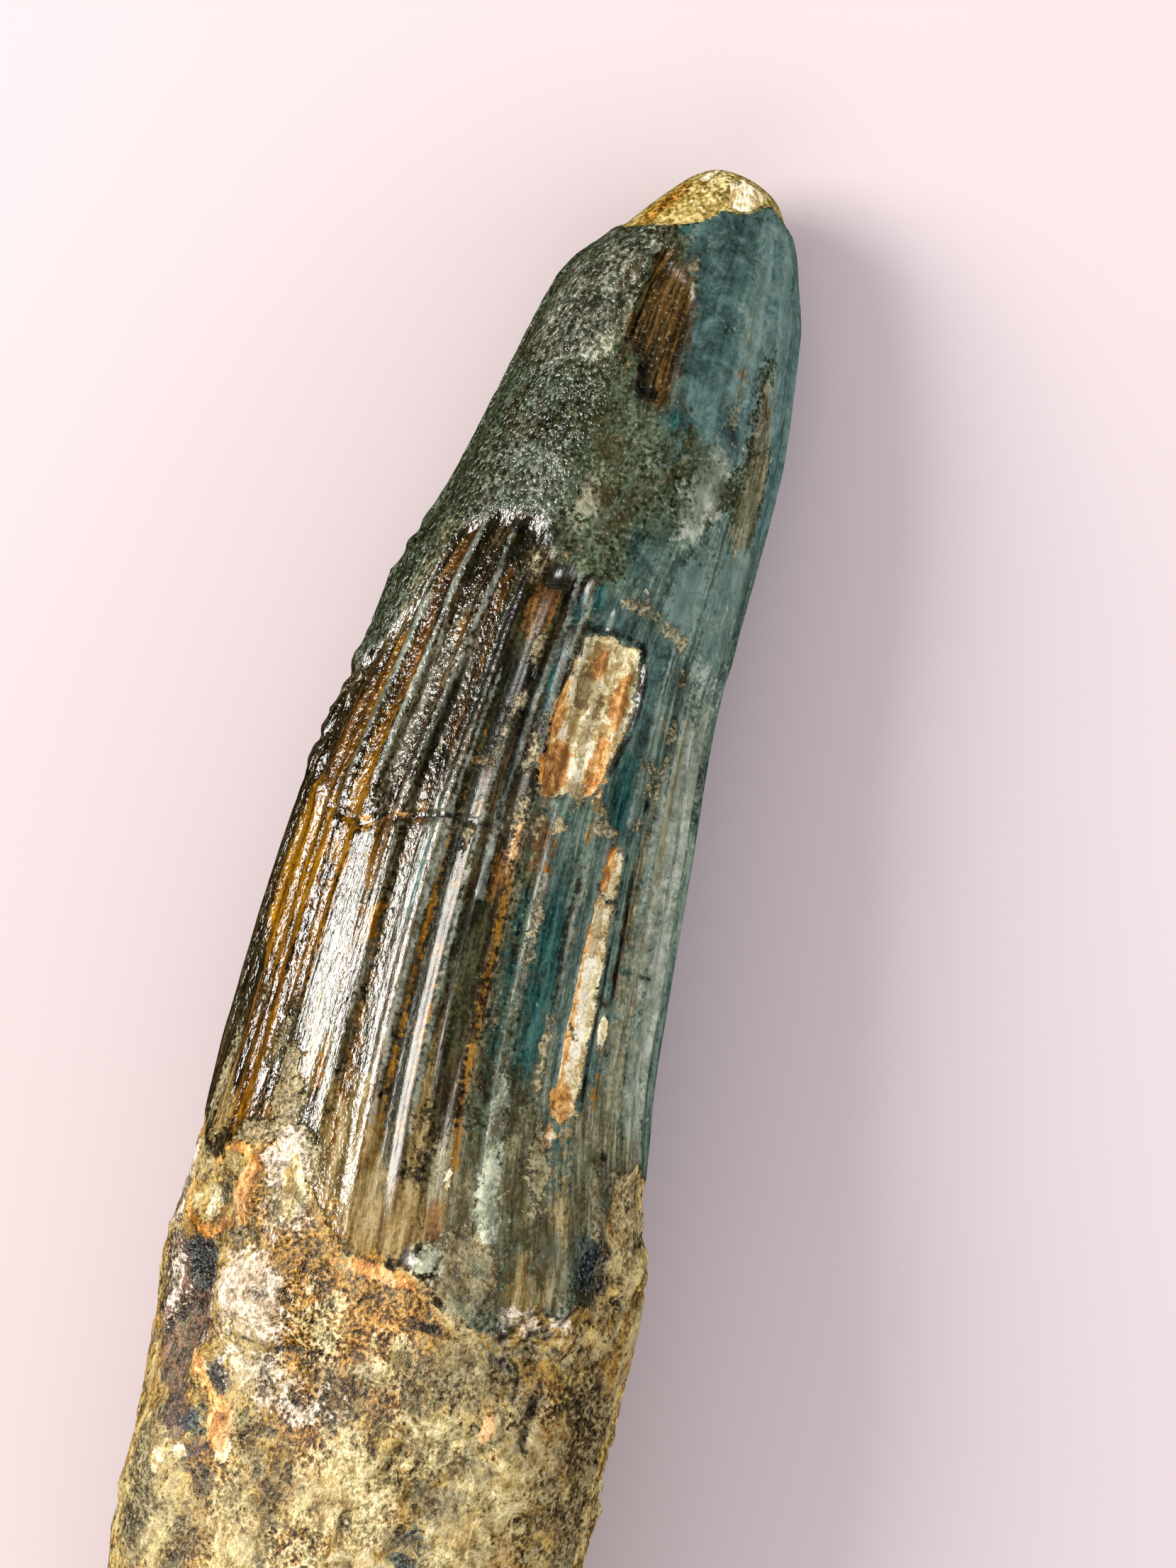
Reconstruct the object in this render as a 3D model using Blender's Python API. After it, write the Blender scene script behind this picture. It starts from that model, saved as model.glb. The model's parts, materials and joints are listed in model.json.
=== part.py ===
"""A fossil spinosaurus tooth lying on its side: a worn, fluted crown on the stump of its root.

The tooth grew as one piece, so it is one solid. X runs from the broken end of the root to the
tip, +Z is up, and the origin is on the ground under the middle of the tooth. Sizes are in
millimetres, and MM turns them into metres. A place on the surface is given by its distance from
the tip and by its angle round the tooth, from the top towards +Y.
"""
import math

import bmesh
import bpy
import numpy as np

MM = 0.001

# Driving sizes
LENGTH = 108.0
FLUTE_DEPTH = 0.38
CARINA_HEIGHT = 0.35
CARINA_HALF_WIDTH = 0.7
LEDGE_HEIGHT = 0.3
CAP_STEP = 0.15
TIP_WEAR_DEPTH = 0.3
ROOT_WAVE = 0.28
BREAK_DEPTH = 1.3
RIM_ROUNDING = 1.5
SURFACE_RADIUS = 12.0

# The plain outline: distance from the tip, left side, right side, underside and top
OUTLINE = (
    (0.0, -1.75, -1.75, 4.6, 4.6),
    (0.3, -0.65, -3.75, 3.3, 5.9),
    (1.2, 0.65, -5.45, 2.2, 7.0),
    (2.5, 1.85, -6.35, 1.3, 7.9),
    (5.0, 3.75, -7.45, 0.4, 9.0),
    (8.0, 5.75, -8.1, -0.1, 10.2),
    (12.0, 6.9, -8.65, -0.4, 11.6),
    (17.0, 7.95, -9.15, -0.4, 13.0),
    (23.0, 9.35, -9.15, -0.4, 14.4),
    (28.0, 10.85, -9.05, -0.4, 15.5),
    (34.0, 11.85, -9.2, -0.5, 16.6),
    (41.0, 13.15, -9.8, -0.5, 18.0),
    (49.0, 13.8, -10.45, -0.5, 19.3),
    (57.0, 14.05, -11.3, -0.5, 20.6),
    (62.0, 14.3, -12.45, -0.8, 21.5),
    (66.0, 14.5, -13.7, -0.8, 22.3),
    (69.5, 14.55, -14.25, -0.8, 22.7),
    (74.0, 14.0, -14.5, -0.8, 22.7),
    (82.0, 13.65, -14.5, -0.8, 22.5),
    (90.0, 12.95, -14.55, -0.8, 22.2),
    (100.0, 12.15, -14.25, -0.8, 21.7),
    (108.0, 11.55, -13.85, -0.8, 21.2),
)

# Angles of the ridges between the flutes: the worn side that lies up, then the side that lies down
UPPER_RIDGES = (75.0, 64.0, 52.5, 41.0, 28.0, 14.0, 3.0, -8.0, -19.0, -30.0, -42.0, -54.5, -66.0, -78.0)
LOWER_RIDGE_COUNT = 14

# Lines round the tooth, as angle and distance from the tip: the edge of the enamel round the worn
# tip, the start of the flutes below the smooth part of the crown, and the end of the crown
TIP_WEAR = ((-180, 3.0), (-100, 3.2), (-70, 2.6), (-50, 1.8), (-40, 1.8), (-20, 2.6), (0, 3.0),
            (20, 4.2), (60, 5.0), (90, 4.6), (130, 3.4), (180, 3.0))
FLUTES_BEGIN = ((-180, 27), (-110, 30), (-75, 30), (-45, 28.6), (-15, 27.4), (0, 26.4), (15, 25),
                (25, 23.5), (40, 24), (50, 25.3), (62, 31), (75, 36), (110, 33), (180, 27))
CROWN_ENDS = ((-180, 66), (-110, 62), (-75, 59.5), (-60, 60.5), (-50, 68), (-40, 69), (-33, 68),
              (-25, 69.6), (-10, 69.2), (0, 67.6), (15, 67.3), (35, 66), (45, 66.5), (56, 69),
              (70, 66), (90, 62), (120, 64), (180, 66))

# Distances of the rings of points from the tip: from, to, and the step between them
RING_SPANS = ((6.5, 18.0, 2.0), (18.0, 23.0, 2.1), (23.0, 29.4, 1.2), (29.4, 30.2, 0.8),
              (30.2, 38.6, 1.9), (38.6, 40.4, 0.9), (40.4, 61.0, 3.0), (61.0, 79.0, 1.5),
              (79.0, 106.0, 3.4))
TIP_RINGS = (0.3, 1.0, 1.9, 2.8, 3.7, 4.8)
COLUMNS_PER_FLUTE = 3

# Lumps and pits: distance, angle, half length, half width, height
LUMPS = (
    (64.9, 60.0, 2.6, 1.3, 0.55),
    (67.6, 56.0, 1.2, 2.4, 0.6),
    (64.5, 47.0, 1.5, 1.6, 0.5),
    (66.2, -4.5, 1.5, 1.2, 0.6),
    (66.6, 15.0, 1.6, 3.0, 0.25),
    (71.6, 36.0, 2.3, 2.2, 0.55),
    (71.0, 46.0, 1.8, 1.0, 0.3),
    (79.0, 36.0, 1.4, 1.6, 0.5),
    (76.5, 49.0, 1.5, 1.2, 0.3),
    (76.0, -33.0, 3.2, 2.0, 0.45),
    (77.5, 2.0, 3.0, 3.0, 0.4),
    (64.0, -72.0, 3.0, 2.2, 0.5),
    (84.0, 22.0, 4.0, 3.5, 0.35),
    (83.0, 62.0, 3.0, 2.2, 0.3),
    (93.0, -10.0, 5.0, 4.0, 0.45),
    (98.0, 50.0, 4.0, 4.0, 0.4),
    (95.0, -65.0, 5.0, 3.5, 0.45),
    (35.5, 70.0, 2.0, 1.0, 0.3),
    (42.6, 68.0, 1.2, 1.4, 0.35),
    (74.8, 33.0, 0.9, 3.0, -0.7),
    (74.0, 60.0, 4.5, 1.9, -0.6),
    (78.5, 55.0, 2.2, 2.0, -0.4),
    (65.6, -54.0, 1.3, 1.8, -0.55),
    (70.6, -38.0, 1.0, 3.0, -0.45),
    (73.5, -36.0, 1.3, 1.4, -0.5),
    (76.5, -60.0, 4.0, 1.5, -0.5),
    (72.9, 25.0, 0.8, 1.2, -0.5),
    (72.6, 7.0, 1.2, 1.4, -0.45),
    (76.0, 15.0, 1.4, 1.4, -0.35),
    (83.0, -14.0, 1.8, 2.0, -0.4),
    (88.0, -45.0, 6.0, 2.0, -0.4),
    (90.0, 20.0, 6.0, 2.2, -0.4),
    (101.0, 15.0, 3.5, 2.5, -0.4),
    (70.5, 17.0, 1.6, 2.2, -0.3),
    (26.8, 5.0, 1.3, 2.0, -0.25),
)

# Hollows where the enamel broke away: ends along the tooth, the angles of both sides at the tip
# end and at the root end, depth, and the width of the sloping rim
CHIP_WINDOW = (29.8, 39.6, -9.0, -34.0, -9.0, -25.0, 0.75, 0.5)
CREAM_STRIP = (41.5, 58.6, -38.0, -42.0, -33.5, -42.5, 0.5, 0.5)
BROWN_PATCH = (6.2, 16.2, 21.0, -9.0, 4.0, -12.0, 0.4, 0.5)

COLOUR = (0.145, 0.105, 0.06, 1.0)
ROUGHNESS = 0.42


def clear_scene():
    for thing in list(bpy.data.objects):
        bpy.data.objects.remove(thing, do_unlink=True)


def smooth_step(edge, width, value):
    """0 before the edge and 1 after it, turning smoothly over the width."""
    share = min(max((value - edge) / width + 0.5, 0.0), 1.0)
    return share * share * (3.0 - 2.0 * share)


def curve_through(knots, values, at):
    """A smooth curve through the knots, read at one place."""
    slopes = np.gradient(values, knots)
    i = int(np.clip(np.searchsorted(knots, at) - 1, 0, len(knots) - 2))
    gap = knots[i + 1] - knots[i]
    share = (at - knots[i]) / gap
    rest = 1.0 - share
    level = (1.0 + 2.0 * share) * rest ** 2 * values[i] + share ** 2 * (3.0 - 2.0 * share) * values[i + 1]
    return level + gap * (share * rest ** 2 * slopes[i] - share ** 2 * rest * slopes[i + 1])


def section(distance):
    """Middle and half size of the plain section: sideways middle and half, upward middle and half."""
    knots = np.sqrt([row[0] for row in OUTLINE])
    at = math.sqrt(distance)
    left, right, under, top = (curve_through(knots, np.array([row[i] for row in OUTLINE]), at)
                               for i in range(1, 5))
    return (left + right) / 2, (left - right) / 2, (top + under) / 2, (top - under) / 2


def ridge_angles():
    """All ridges round the tooth, falling from the left side over the top and round underneath."""
    last = UPPER_RIDGES[-1]
    gap = (360.0 + last - UPPER_RIDGES[0]) / (LOWER_RIDGE_COUNT + 1)
    return list(UPPER_RIDGES) + [last - gap * (i + 1) for i in range(LOWER_RIDGE_COUNT)]


def columns():
    """The angle of each column of points, and its share of the flute's depth."""
    ridges = ridge_angles()
    ridges.append(ridges[0] - 360.0)
    found = []
    for start, end in zip(ridges, ridges[1:]):
        for i in range(COLUMNS_PER_FLUTE):
            share = (0.0, 0.34, 0.66)[i]
            found.append((start + (end - start) * share, min(i, 1)))
    return found


def level_at(line, angle):
    """The distance of a line round the tooth, at an angle."""
    turned = (angle + 180.0) % 360.0 - 180.0
    return float(np.interp(turned, [point[0] for point in line], [point[1] for point in line]))


def hollow(shape, distance, angle):
    """The depth of a hollow with four sides, at a point of the surface."""
    start, end, left_start, right_start, left_end, right_end, depth, rim = shape
    share = min(max((distance - start) / (end - start), 0.0), 1.0)
    left = left_start + (left_end - left_start) * share
    right = right_start + (right_end - right_start) * share
    across = math.radians(min(left - angle, angle - right)) * SURFACE_RADIUS
    inside = min(distance - start, end - distance, across)
    return depth * smooth_step(0.0, rim, inside)


def relief(distance, angle, groove):
    """How far the surface stands out from the plain section, along its normal."""
    turned = (angle + 180.0) % 360.0 - 180.0
    begin = level_at(FLUTES_BEGIN, turned)
    end = level_at(CROWN_ENDS, turned)
    fluted = smooth_step(begin, 1.6, distance) * (1.0 - smooth_step(end - 2.0, 4.0, distance))
    height = -FLUTE_DEPTH * groove * fluted
    height -= LEDGE_HEIGHT * smooth_step(end, 1.5, distance)
    height += CAP_STEP * (1.0 - smooth_step(begin, 1.6, distance))
    height -= TIP_WEAR_DEPTH * (1.0 - smooth_step(level_at(TIP_WEAR, turned), 0.8, distance))
    for side in (-90.0, 90.0):
        across = math.radians(turned - side) * SURFACE_RADIUS / CARINA_HALF_WIDTH
        keel = smooth_step(6.0, 4.0, distance) * (1.0 - smooth_step(60.0, 6.0, distance))
        height += CARINA_HEIGHT * keel * math.exp(-across ** 2)
    for at, around, half_length, half_width, rise in LUMPS:
        along = (distance - at) / half_length
        across = math.radians(turned - around) * SURFACE_RADIUS / half_width
        height += rise * math.exp(-along ** 2 - across ** 2)
    for shape in (CHIP_WINDOW, CREAM_STRIP, BROWN_PATCH):
        height -= hollow(shape, distance, turned)
    bone = smooth_step(end + 2.0, 6.0, distance)
    turn = math.radians(turned)
    height += bone * ROOT_WAVE * math.sin(3.0 * turn + 0.11 * distance + 0.6)
    height += bone * 0.7 * ROOT_WAVE * math.sin(7.0 * turn - 0.3 * distance)
    return height


def surface_point(distance, angle, groove, shrink=1.0):
    """A point of the skin, in millimetres, with the underside flattened where the tooth lies."""
    middle_y, half_y, middle_z, half_z = section(distance)
    turn = math.radians(angle)
    across = math.sin(turn)
    up = math.cos(turn)
    normal_length = math.hypot(across * half_z, up * half_y)
    stand_out = relief(distance, angle, groove) * min(distance / 4.0, 1.0)
    y = middle_y + (half_y * across + stand_out * across * half_z / normal_length) * shrink
    z = middle_z + (half_z * up + stand_out * up * half_y / normal_length) * shrink
    return LENGTH / 2 - distance, y, max(z, 0.0)


def ring_distances():
    """Distances from the tip at which the tooth has a ring of points."""
    found = list(TIP_RINGS)
    for start, end, step in RING_SPANS:
        count = round((end - start) / step)
        found.extend(start + (end - start) * i / count for i in range(count))
    return found


def broken_end():
    """Rings over the rounded rim and the uneven face of the break, as distance and size."""
    return ((LENGTH - RIM_ROUNDING, 1.0), (LENGTH - 0.4 * RIM_ROUNDING, 0.975), (LENGTH, 0.92),
            (LENGTH, 0.66), (LENGTH, 0.33))


def make_tooth():
    """The whole tooth as rings of points, joined one to the next, with a point at each end."""
    bm = bmesh.new()
    places = columns()
    rings = []
    for distance in ring_distances():
        ring = [bm.verts.new(surface_point(distance, angle, groove)) for angle, groove in places]
        rings.append(ring)
    for distance, size in broken_end():
        ring = []
        for angle, groove in places:
            x, y, z = surface_point(distance, angle, groove, size)
            turn = math.radians(angle)
            uneven = 0.5 + 0.3 * math.sin(2.0 * turn + 0.8) + 0.2 * math.sin(5.0 * turn + 7.0 * size)
            x += BREAK_DEPTH * uneven * (1.0 if size < 1.0 else 0.0)
            ring.append(bm.verts.new((x, y, z)))
        rings.append(ring)
    for ring, following in zip(rings, rings[1:]):
        for i in range(len(ring)):
            j = (i + 1) % len(ring)
            bm.faces.new((ring[i], ring[j], following[j], following[i]))
    tip = bm.verts.new(surface_point(0.0001, 0.0, 0.0))
    middle_y, _, middle_z, _ = section(LENGTH)
    end = bm.verts.new((-LENGTH / 2 + 0.7 * BREAK_DEPTH, middle_y, middle_z))
    for i in range(len(places)):
        j = (i + 1) % len(places)
        bm.faces.new((tip, rings[0][j], rings[0][i]))
        bm.faces.new((end, rings[-1][i], rings[-1][j]))
    bmesh.ops.triangulate(bm, faces=bm.faces[:])
    bmesh.ops.recalc_face_normals(bm, faces=bm.faces[:])
    return bm


def stand_on_origin(bm):
    """Scale to metres, with the origin on the ground under the middle of the box."""
    corners = np.array([vert.co for vert in bm.verts])
    low = corners.min(axis=0)
    high = corners.max(axis=0)
    bmesh.ops.translate(bm, verts=bm.verts[:], vec=(-(low[0] + high[0]) / 2, -(low[1] + high[1]) / 2, -low[2]))
    bmesh.ops.scale(bm, verts=bm.verts[:], vec=(MM, MM, MM))


def fossil_enamel():
    """Brown and slate mineral-stained enamel with a soft polish."""
    material = bpy.data.materials.new("fossil_enamel")
    material.use_nodes = True
    shader = material.node_tree.nodes["Principled BSDF"]
    shader.inputs["Base Color"].default_value = COLOUR
    shader.inputs["Roughness"].default_value = ROUGHNESS
    shader.inputs["Metallic"].default_value = 0.0
    return material


def add_tooth():
    bm = make_tooth()
    stand_on_origin(bm)
    mesh = bpy.data.meshes.new("tooth")
    bm.to_mesh(mesh)
    bm.free()
    mesh.shade_smooth()
    mesh.set_sharp_from_angle(angle=math.radians(50.0))
    tooth = bpy.data.objects.new("tooth", mesh)
    bpy.context.collection.objects.link(tooth)
    tooth.data.materials.append(fossil_enamel())


clear_scene()
add_tooth()
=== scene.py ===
import itertools
import json
import math

import bpy
import numpy as np
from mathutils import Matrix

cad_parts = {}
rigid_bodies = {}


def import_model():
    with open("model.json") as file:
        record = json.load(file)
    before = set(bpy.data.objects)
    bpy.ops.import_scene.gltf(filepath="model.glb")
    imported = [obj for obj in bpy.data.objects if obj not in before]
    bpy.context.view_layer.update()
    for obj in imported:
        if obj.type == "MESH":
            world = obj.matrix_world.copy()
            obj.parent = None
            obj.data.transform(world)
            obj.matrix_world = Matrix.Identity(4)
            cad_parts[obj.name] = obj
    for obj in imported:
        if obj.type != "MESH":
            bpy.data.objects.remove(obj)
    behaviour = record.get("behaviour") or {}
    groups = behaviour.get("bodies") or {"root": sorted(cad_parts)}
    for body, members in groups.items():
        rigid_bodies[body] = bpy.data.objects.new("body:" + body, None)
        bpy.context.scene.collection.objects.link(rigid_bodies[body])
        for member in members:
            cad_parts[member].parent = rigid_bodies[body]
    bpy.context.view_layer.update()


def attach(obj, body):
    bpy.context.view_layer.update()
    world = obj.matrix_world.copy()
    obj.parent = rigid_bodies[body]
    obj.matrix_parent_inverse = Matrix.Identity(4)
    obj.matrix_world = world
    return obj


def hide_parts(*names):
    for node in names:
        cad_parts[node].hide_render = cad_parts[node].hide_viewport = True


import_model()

MM = 0.001


# Fossil tooth. A shed spinosaurus tooth that turned to stone: a crown of fluted enamel, brown where
# it is worn and slate blue where it is whole, on the stump of its root. It grew as one piece, so it
# is one skin, and its chips, cracks and lumps are raised and sunk along that skin.

# Plain outline in mm: distance from the tip, left side, right side, underside and top
OUTLINE = (
    (0.0, -1.75, -1.75, 4.6, 4.6),
    (0.3, -0.65, -3.75, 3.3, 5.9),
    (1.2, 0.65, -5.45, 2.2, 7.0),
    (2.5, 1.85, -6.35, 1.3, 7.9),
    (5.0, 3.75, -7.45, 0.4, 9.0),
    (8.0, 5.75, -8.1, -0.1, 10.2),
    (12.0, 6.9, -8.65, -0.4, 11.6),
    (17.0, 7.95, -9.15, -0.4, 13.0),
    (23.0, 9.35, -9.15, -0.4, 14.4),
    (28.0, 10.85, -9.05, -0.4, 15.5),
    (34.0, 11.85, -9.2, -0.5, 16.6),
    (41.0, 13.15, -9.8, -0.5, 18.0),
    (49.0, 13.8, -10.45, -0.5, 19.3),
    (57.0, 14.05, -11.3, -0.5, 20.6),
    (62.0, 14.3, -12.45, -0.8, 21.5),
    (66.0, 14.5, -13.7, -0.8, 22.3),
    (69.5, 14.55, -14.25, -0.8, 22.7),
    (74.0, 14.0, -14.5, -0.8, 22.7),
    (82.0, 13.65, -14.5, -0.8, 22.5),
    (90.0, 12.95, -14.55, -0.8, 22.2),
    (100.0, 12.15, -14.25, -0.8, 21.7),
    (108.0, 11.55, -13.85, -0.8, 21.2),
)
LENGTH = OUTLINE[-1][0]
SKIN_RADIUS = 12.0             # mm, turns an angle round the tooth into a width along its skin
RIM_ROUNDING = 1.5
BREAK_DEPTH = 1.3
FACE_RADIUS = 10.7             # mm, how far the skin runs in over the broken face
FAR = 99.0                     # mm, further than any place on the skin is from a line

# Angles round the tooth, from the top towards +Y: ridges that stand out, and faint ones between
RIDGES = (75.0, 64.0, 52.0, 41.0, 28.5, 13.5, 3.2, -7.8, -19.0, -30.0, -42.5, -54.5, -66.0, -78.0)
FAINT_RIDGES = (58.0, 46.5, 34.5, 20.5, 8.0, -1.5, -13.5, -24.5, -36.5, -48.5, -60.5, -72.0)
LOWER_RIDGE_COUNT = 14
FLUTE_DEPTH = 0.4
FAINT_HEIGHT = 0.12

# Sizes of the main forms in mm: heights and depths, the width of a keel and the size of bone lumps
TIP_DEPTH = 0.3
KEEL_HEIGHT = 0.35
KEEL_WIDTH = 0.7
FLUTES_STEP = 0.15
CROWN_STEP = 0.22
WINDOW_DEPTH = 0.75
STRIP_DEPTH = 0.42
PATCH_DEPTH = 0.35
CRACK_DEPTH = 0.3
LUMP_SIZE = 2.6
BONE_LUMP_HEIGHT = 0.5
PIT_DEPTH = 0.5
BONE_GRAIN_HEIGHT = 0.06

# Lines round the tooth, as angle and distance from the tip
TIP_WEAR = (
    (-180, 3.0), (-100, 3.4), (-70, 2.7), (-60, 2.3), (-50, 1.8), (-40, 1.8), (-30, 2.2), (-20, 2.7),
    (0, 3.0), (10, 4.0), (20, 4.4), (40, 4.8), (60, 5.2), (90, 5.0), (130, 3.4), (180, 3.0),
)
FLUTES_BEGIN = (
    (-180, 27), (-110, 30), (-75, 30), (-60, 29.8), (-50, 29), (-40, 28.5), (-30, 28.3), (-20, 27.6),
    (-12, 27.2), (-5, 26.4), (0, 27), (5, 26.5), (10, 26), (15, 25), (20, 24), (30, 23.7), (40, 24),
    (50, 25.2), (56, 30), (62, 31.5), (75, 36), (110, 33), (180, 27),
)
CROWN_ENDS = (
    (-180, 66), (-110, 62), (-75, 59.5), (-60, 60.5), (-54, 64), (-50, 67.4), (-45, 67.6), (-40, 68.6),
    (-33, 67.9), (-26, 69.6), (-20, 70), (-10, 69.3), (-5, 67.9), (0, 67.6), (8, 67.7), (15, 67.2),
    (24, 64.8), (35, 62), (42, 62.8), (50, 63.4), (58, 64.6), (64, 64.6), (70, 63.5), (90, 62),
    (120, 64), (180, 66),
)

# Outlines on the skin, as distance from the tip and angle
CHIP_WINDOW = (
    (29.7, -9.5), (29.5, -15), (29.6, -24), (29.9, -31.5), (31.0, -34.2), (33.0, -35.8), (34.7, -35),
    (36.1, -32.7), (37.5, -30.6), (38.7, -29), (39.3, -24), (39.0, -20), (39.6, -15), (39.5, -11),
    (38, -9.2), (35.5, -7.9), (33.5, -7.6), (32, -9), (30.6, -10.3),
)
BROWN_PATCH = (
    (6.0, 19), (6.2, 14), (7.0, 10), (7.4, 2), (8.0, -4), (8.6, -8), (10, -9.5), (14, -9.8),
    (15.6, -9.5), (16, -3), (15.4, 3), (14.6, 6.5), (13.2, 7.5), (12.9, 12), (12.4, 17.3), (10.4, 18),
    (8.6, 18.2), (7.4, 20.5), (6.6, 22.5),
)
CREAM_STRIP = (
    (41.5, -39.5), (41.6, -42.3), (44.6, -42.6), (50, -43.0), (54, -43.2), (56.8, -42), (57.4, -38),
    (56.6, -34.4), (53, -34.6), (50, -34.6), (47, -35.4), (44.6, -36), (43.6, -37.4),
)
UPPER_SLATE = (
    (3.3, 8), (2.7, -20), (1.9, -45), (2.6, -70), (3, -115), (30, -115), (30, -80), (22, -73),
    (17, -66), (11, -57), (12, -50), (17, -48), (18.4, -44), (18, -33), (16.6, -20), (14, -12),
    (8.4, -9), (6.8, 0), (5.2, 12), (4.5, 20),
)
LOWER_SLATE = (
    (22, -30), (21, -46), (22, -60), (22, -72), (22, -115), (62, -115), (60, -62), (58, -48),
    (63, -40), (62, -30), (56, -25), (45, -19), (40, -10), (27.3, -8.5), (25, -18),
)
PINK_PATCH = (
    (68.8, 36), (69.0, 29), (72.2, 26.8), (73.3, 25.8), (73.3, 41.5), (72.2, 47), (70.4, 48.5),
    (69.6, 44),
)
MINT_PATCH = (
    (55.6, -17.5), (56, -20), (60, -20.4), (64.6, -20.6), (64.6, -18), (63.6, -14.6), (61, -15.6),
    (58, -16.2),
)
TIP_CREAM = (
    (0.9, 4), (1.5, 1), (2.3, -3), (2.7, -13), (2.3, -26), (1.6, -38), (0.9, -42), (0.5, -18),
)
PLUM_STREAK = (
    (69.2, 72), (69.0, 60), (69.6, 51), (71.4, 48.6), (74, 51), (77, 56), (78.6, 50), (80.4, 47),
    (80.2, 42), (81, 50), (79, 61), (77.2, 71), (74, 80), (70, 80),
)
DARK_ROOT_SIDE = (
    (69.6, -48), (70, -62), (73, -68), (76, -74), (78.8, -70), (78, -60), (76, -54), (73, -50),
)
DUSK_SIDE = (
    (5.5, 75), (4.9, 40), (6.0, 22), (9, 21), (13, 30), (14.5, 45), (14, 75),
)

# Lumps and pits: distance, angle, half length, half width, height, all but the angle in mm
LUMPS = (
    (64.9, 68.0, 2.2, 0.8, 0.35),
    (67.9, 60.0, 0.9, 1.9, 0.5),
    (66.0, 44.5, 1.3, 1.3, 0.55),
    (63.6, 50.0, 0.6, 1.6, 0.4),
    (66.7, -4.2, 1.3, 0.8, 0.6),
    (66.6, 15.0, 1.6, 3.0, 0.25),
    (71.2, 36.0, 1.9, 1.9, 0.5),
    (71.0, 46.0, 1.2, 0.8, 0.3),
    (78.6, 37.0, 1.2, 1.2, 0.45),
    (76.0, 50.0, 1.1, 1.0, 0.35),
    (76.0, -33.0, 3.0, 1.8, 0.4),
    (77.5, 2.0, 3.0, 3.0, 0.4),
    (64.0, -72.0, 3.0, 2.2, 0.5),
    (84.0, 22.0, 4.0, 3.5, 0.35),
    (83.0, 62.0, 3.0, 2.2, 0.3),
    (93.0, -10.0, 5.0, 4.0, 0.45),
    (98.0, 50.0, 4.0, 4.0, 0.4),
    (95.0, -65.0, 5.0, 3.5, 0.45),
    (35.5, 70.0, 2.0, 1.0, 0.3),
    (42.6, 68.0, 1.2, 1.4, 0.35),
    (74.3, 33.0, 0.5, 2.6, -0.45),
    (73.6, 60.0, 3.8, 1.6, -0.5),
    (79.2, 48.0, 1.4, 1.3, -0.4),
    (65.6, -54.0, 1.3, 1.5, -0.55),
    (70.6, -38.0, 0.8, 2.6, -0.35),
    (73.5, -36.0, 1.0, 1.0, -0.45),
    (76.5, -60.0, 3.6, 1.3, -0.45),
    (73.2, 23.6, 0.4, 0.9, -0.6),
    (72.7, 8.0, 0.6, 0.9, -0.55),
    (74.6, 4.0, 0.9, 0.9, -0.35),
    (76.0, 15.0, 1.4, 1.4, -0.35),
    (82.6, -14.0, 1.3, 1.6, -0.4),
    (88.0, -45.0, 6.0, 2.0, -0.4),
    (90.0, 20.0, 6.0, 2.2, -0.4),
    (101.0, 15.0, 3.5, 2.5, -0.4),
    (69.0, 20.0, 1.6, 2.0, -0.3),
    (67.0, 54.0, 1.0, 0.7, -0.4),
    (26.8, 5.0, 1.0, 1.2, -0.3),
    (28.4, -6.0, 1.2, 0.6, -0.3),
)

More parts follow.
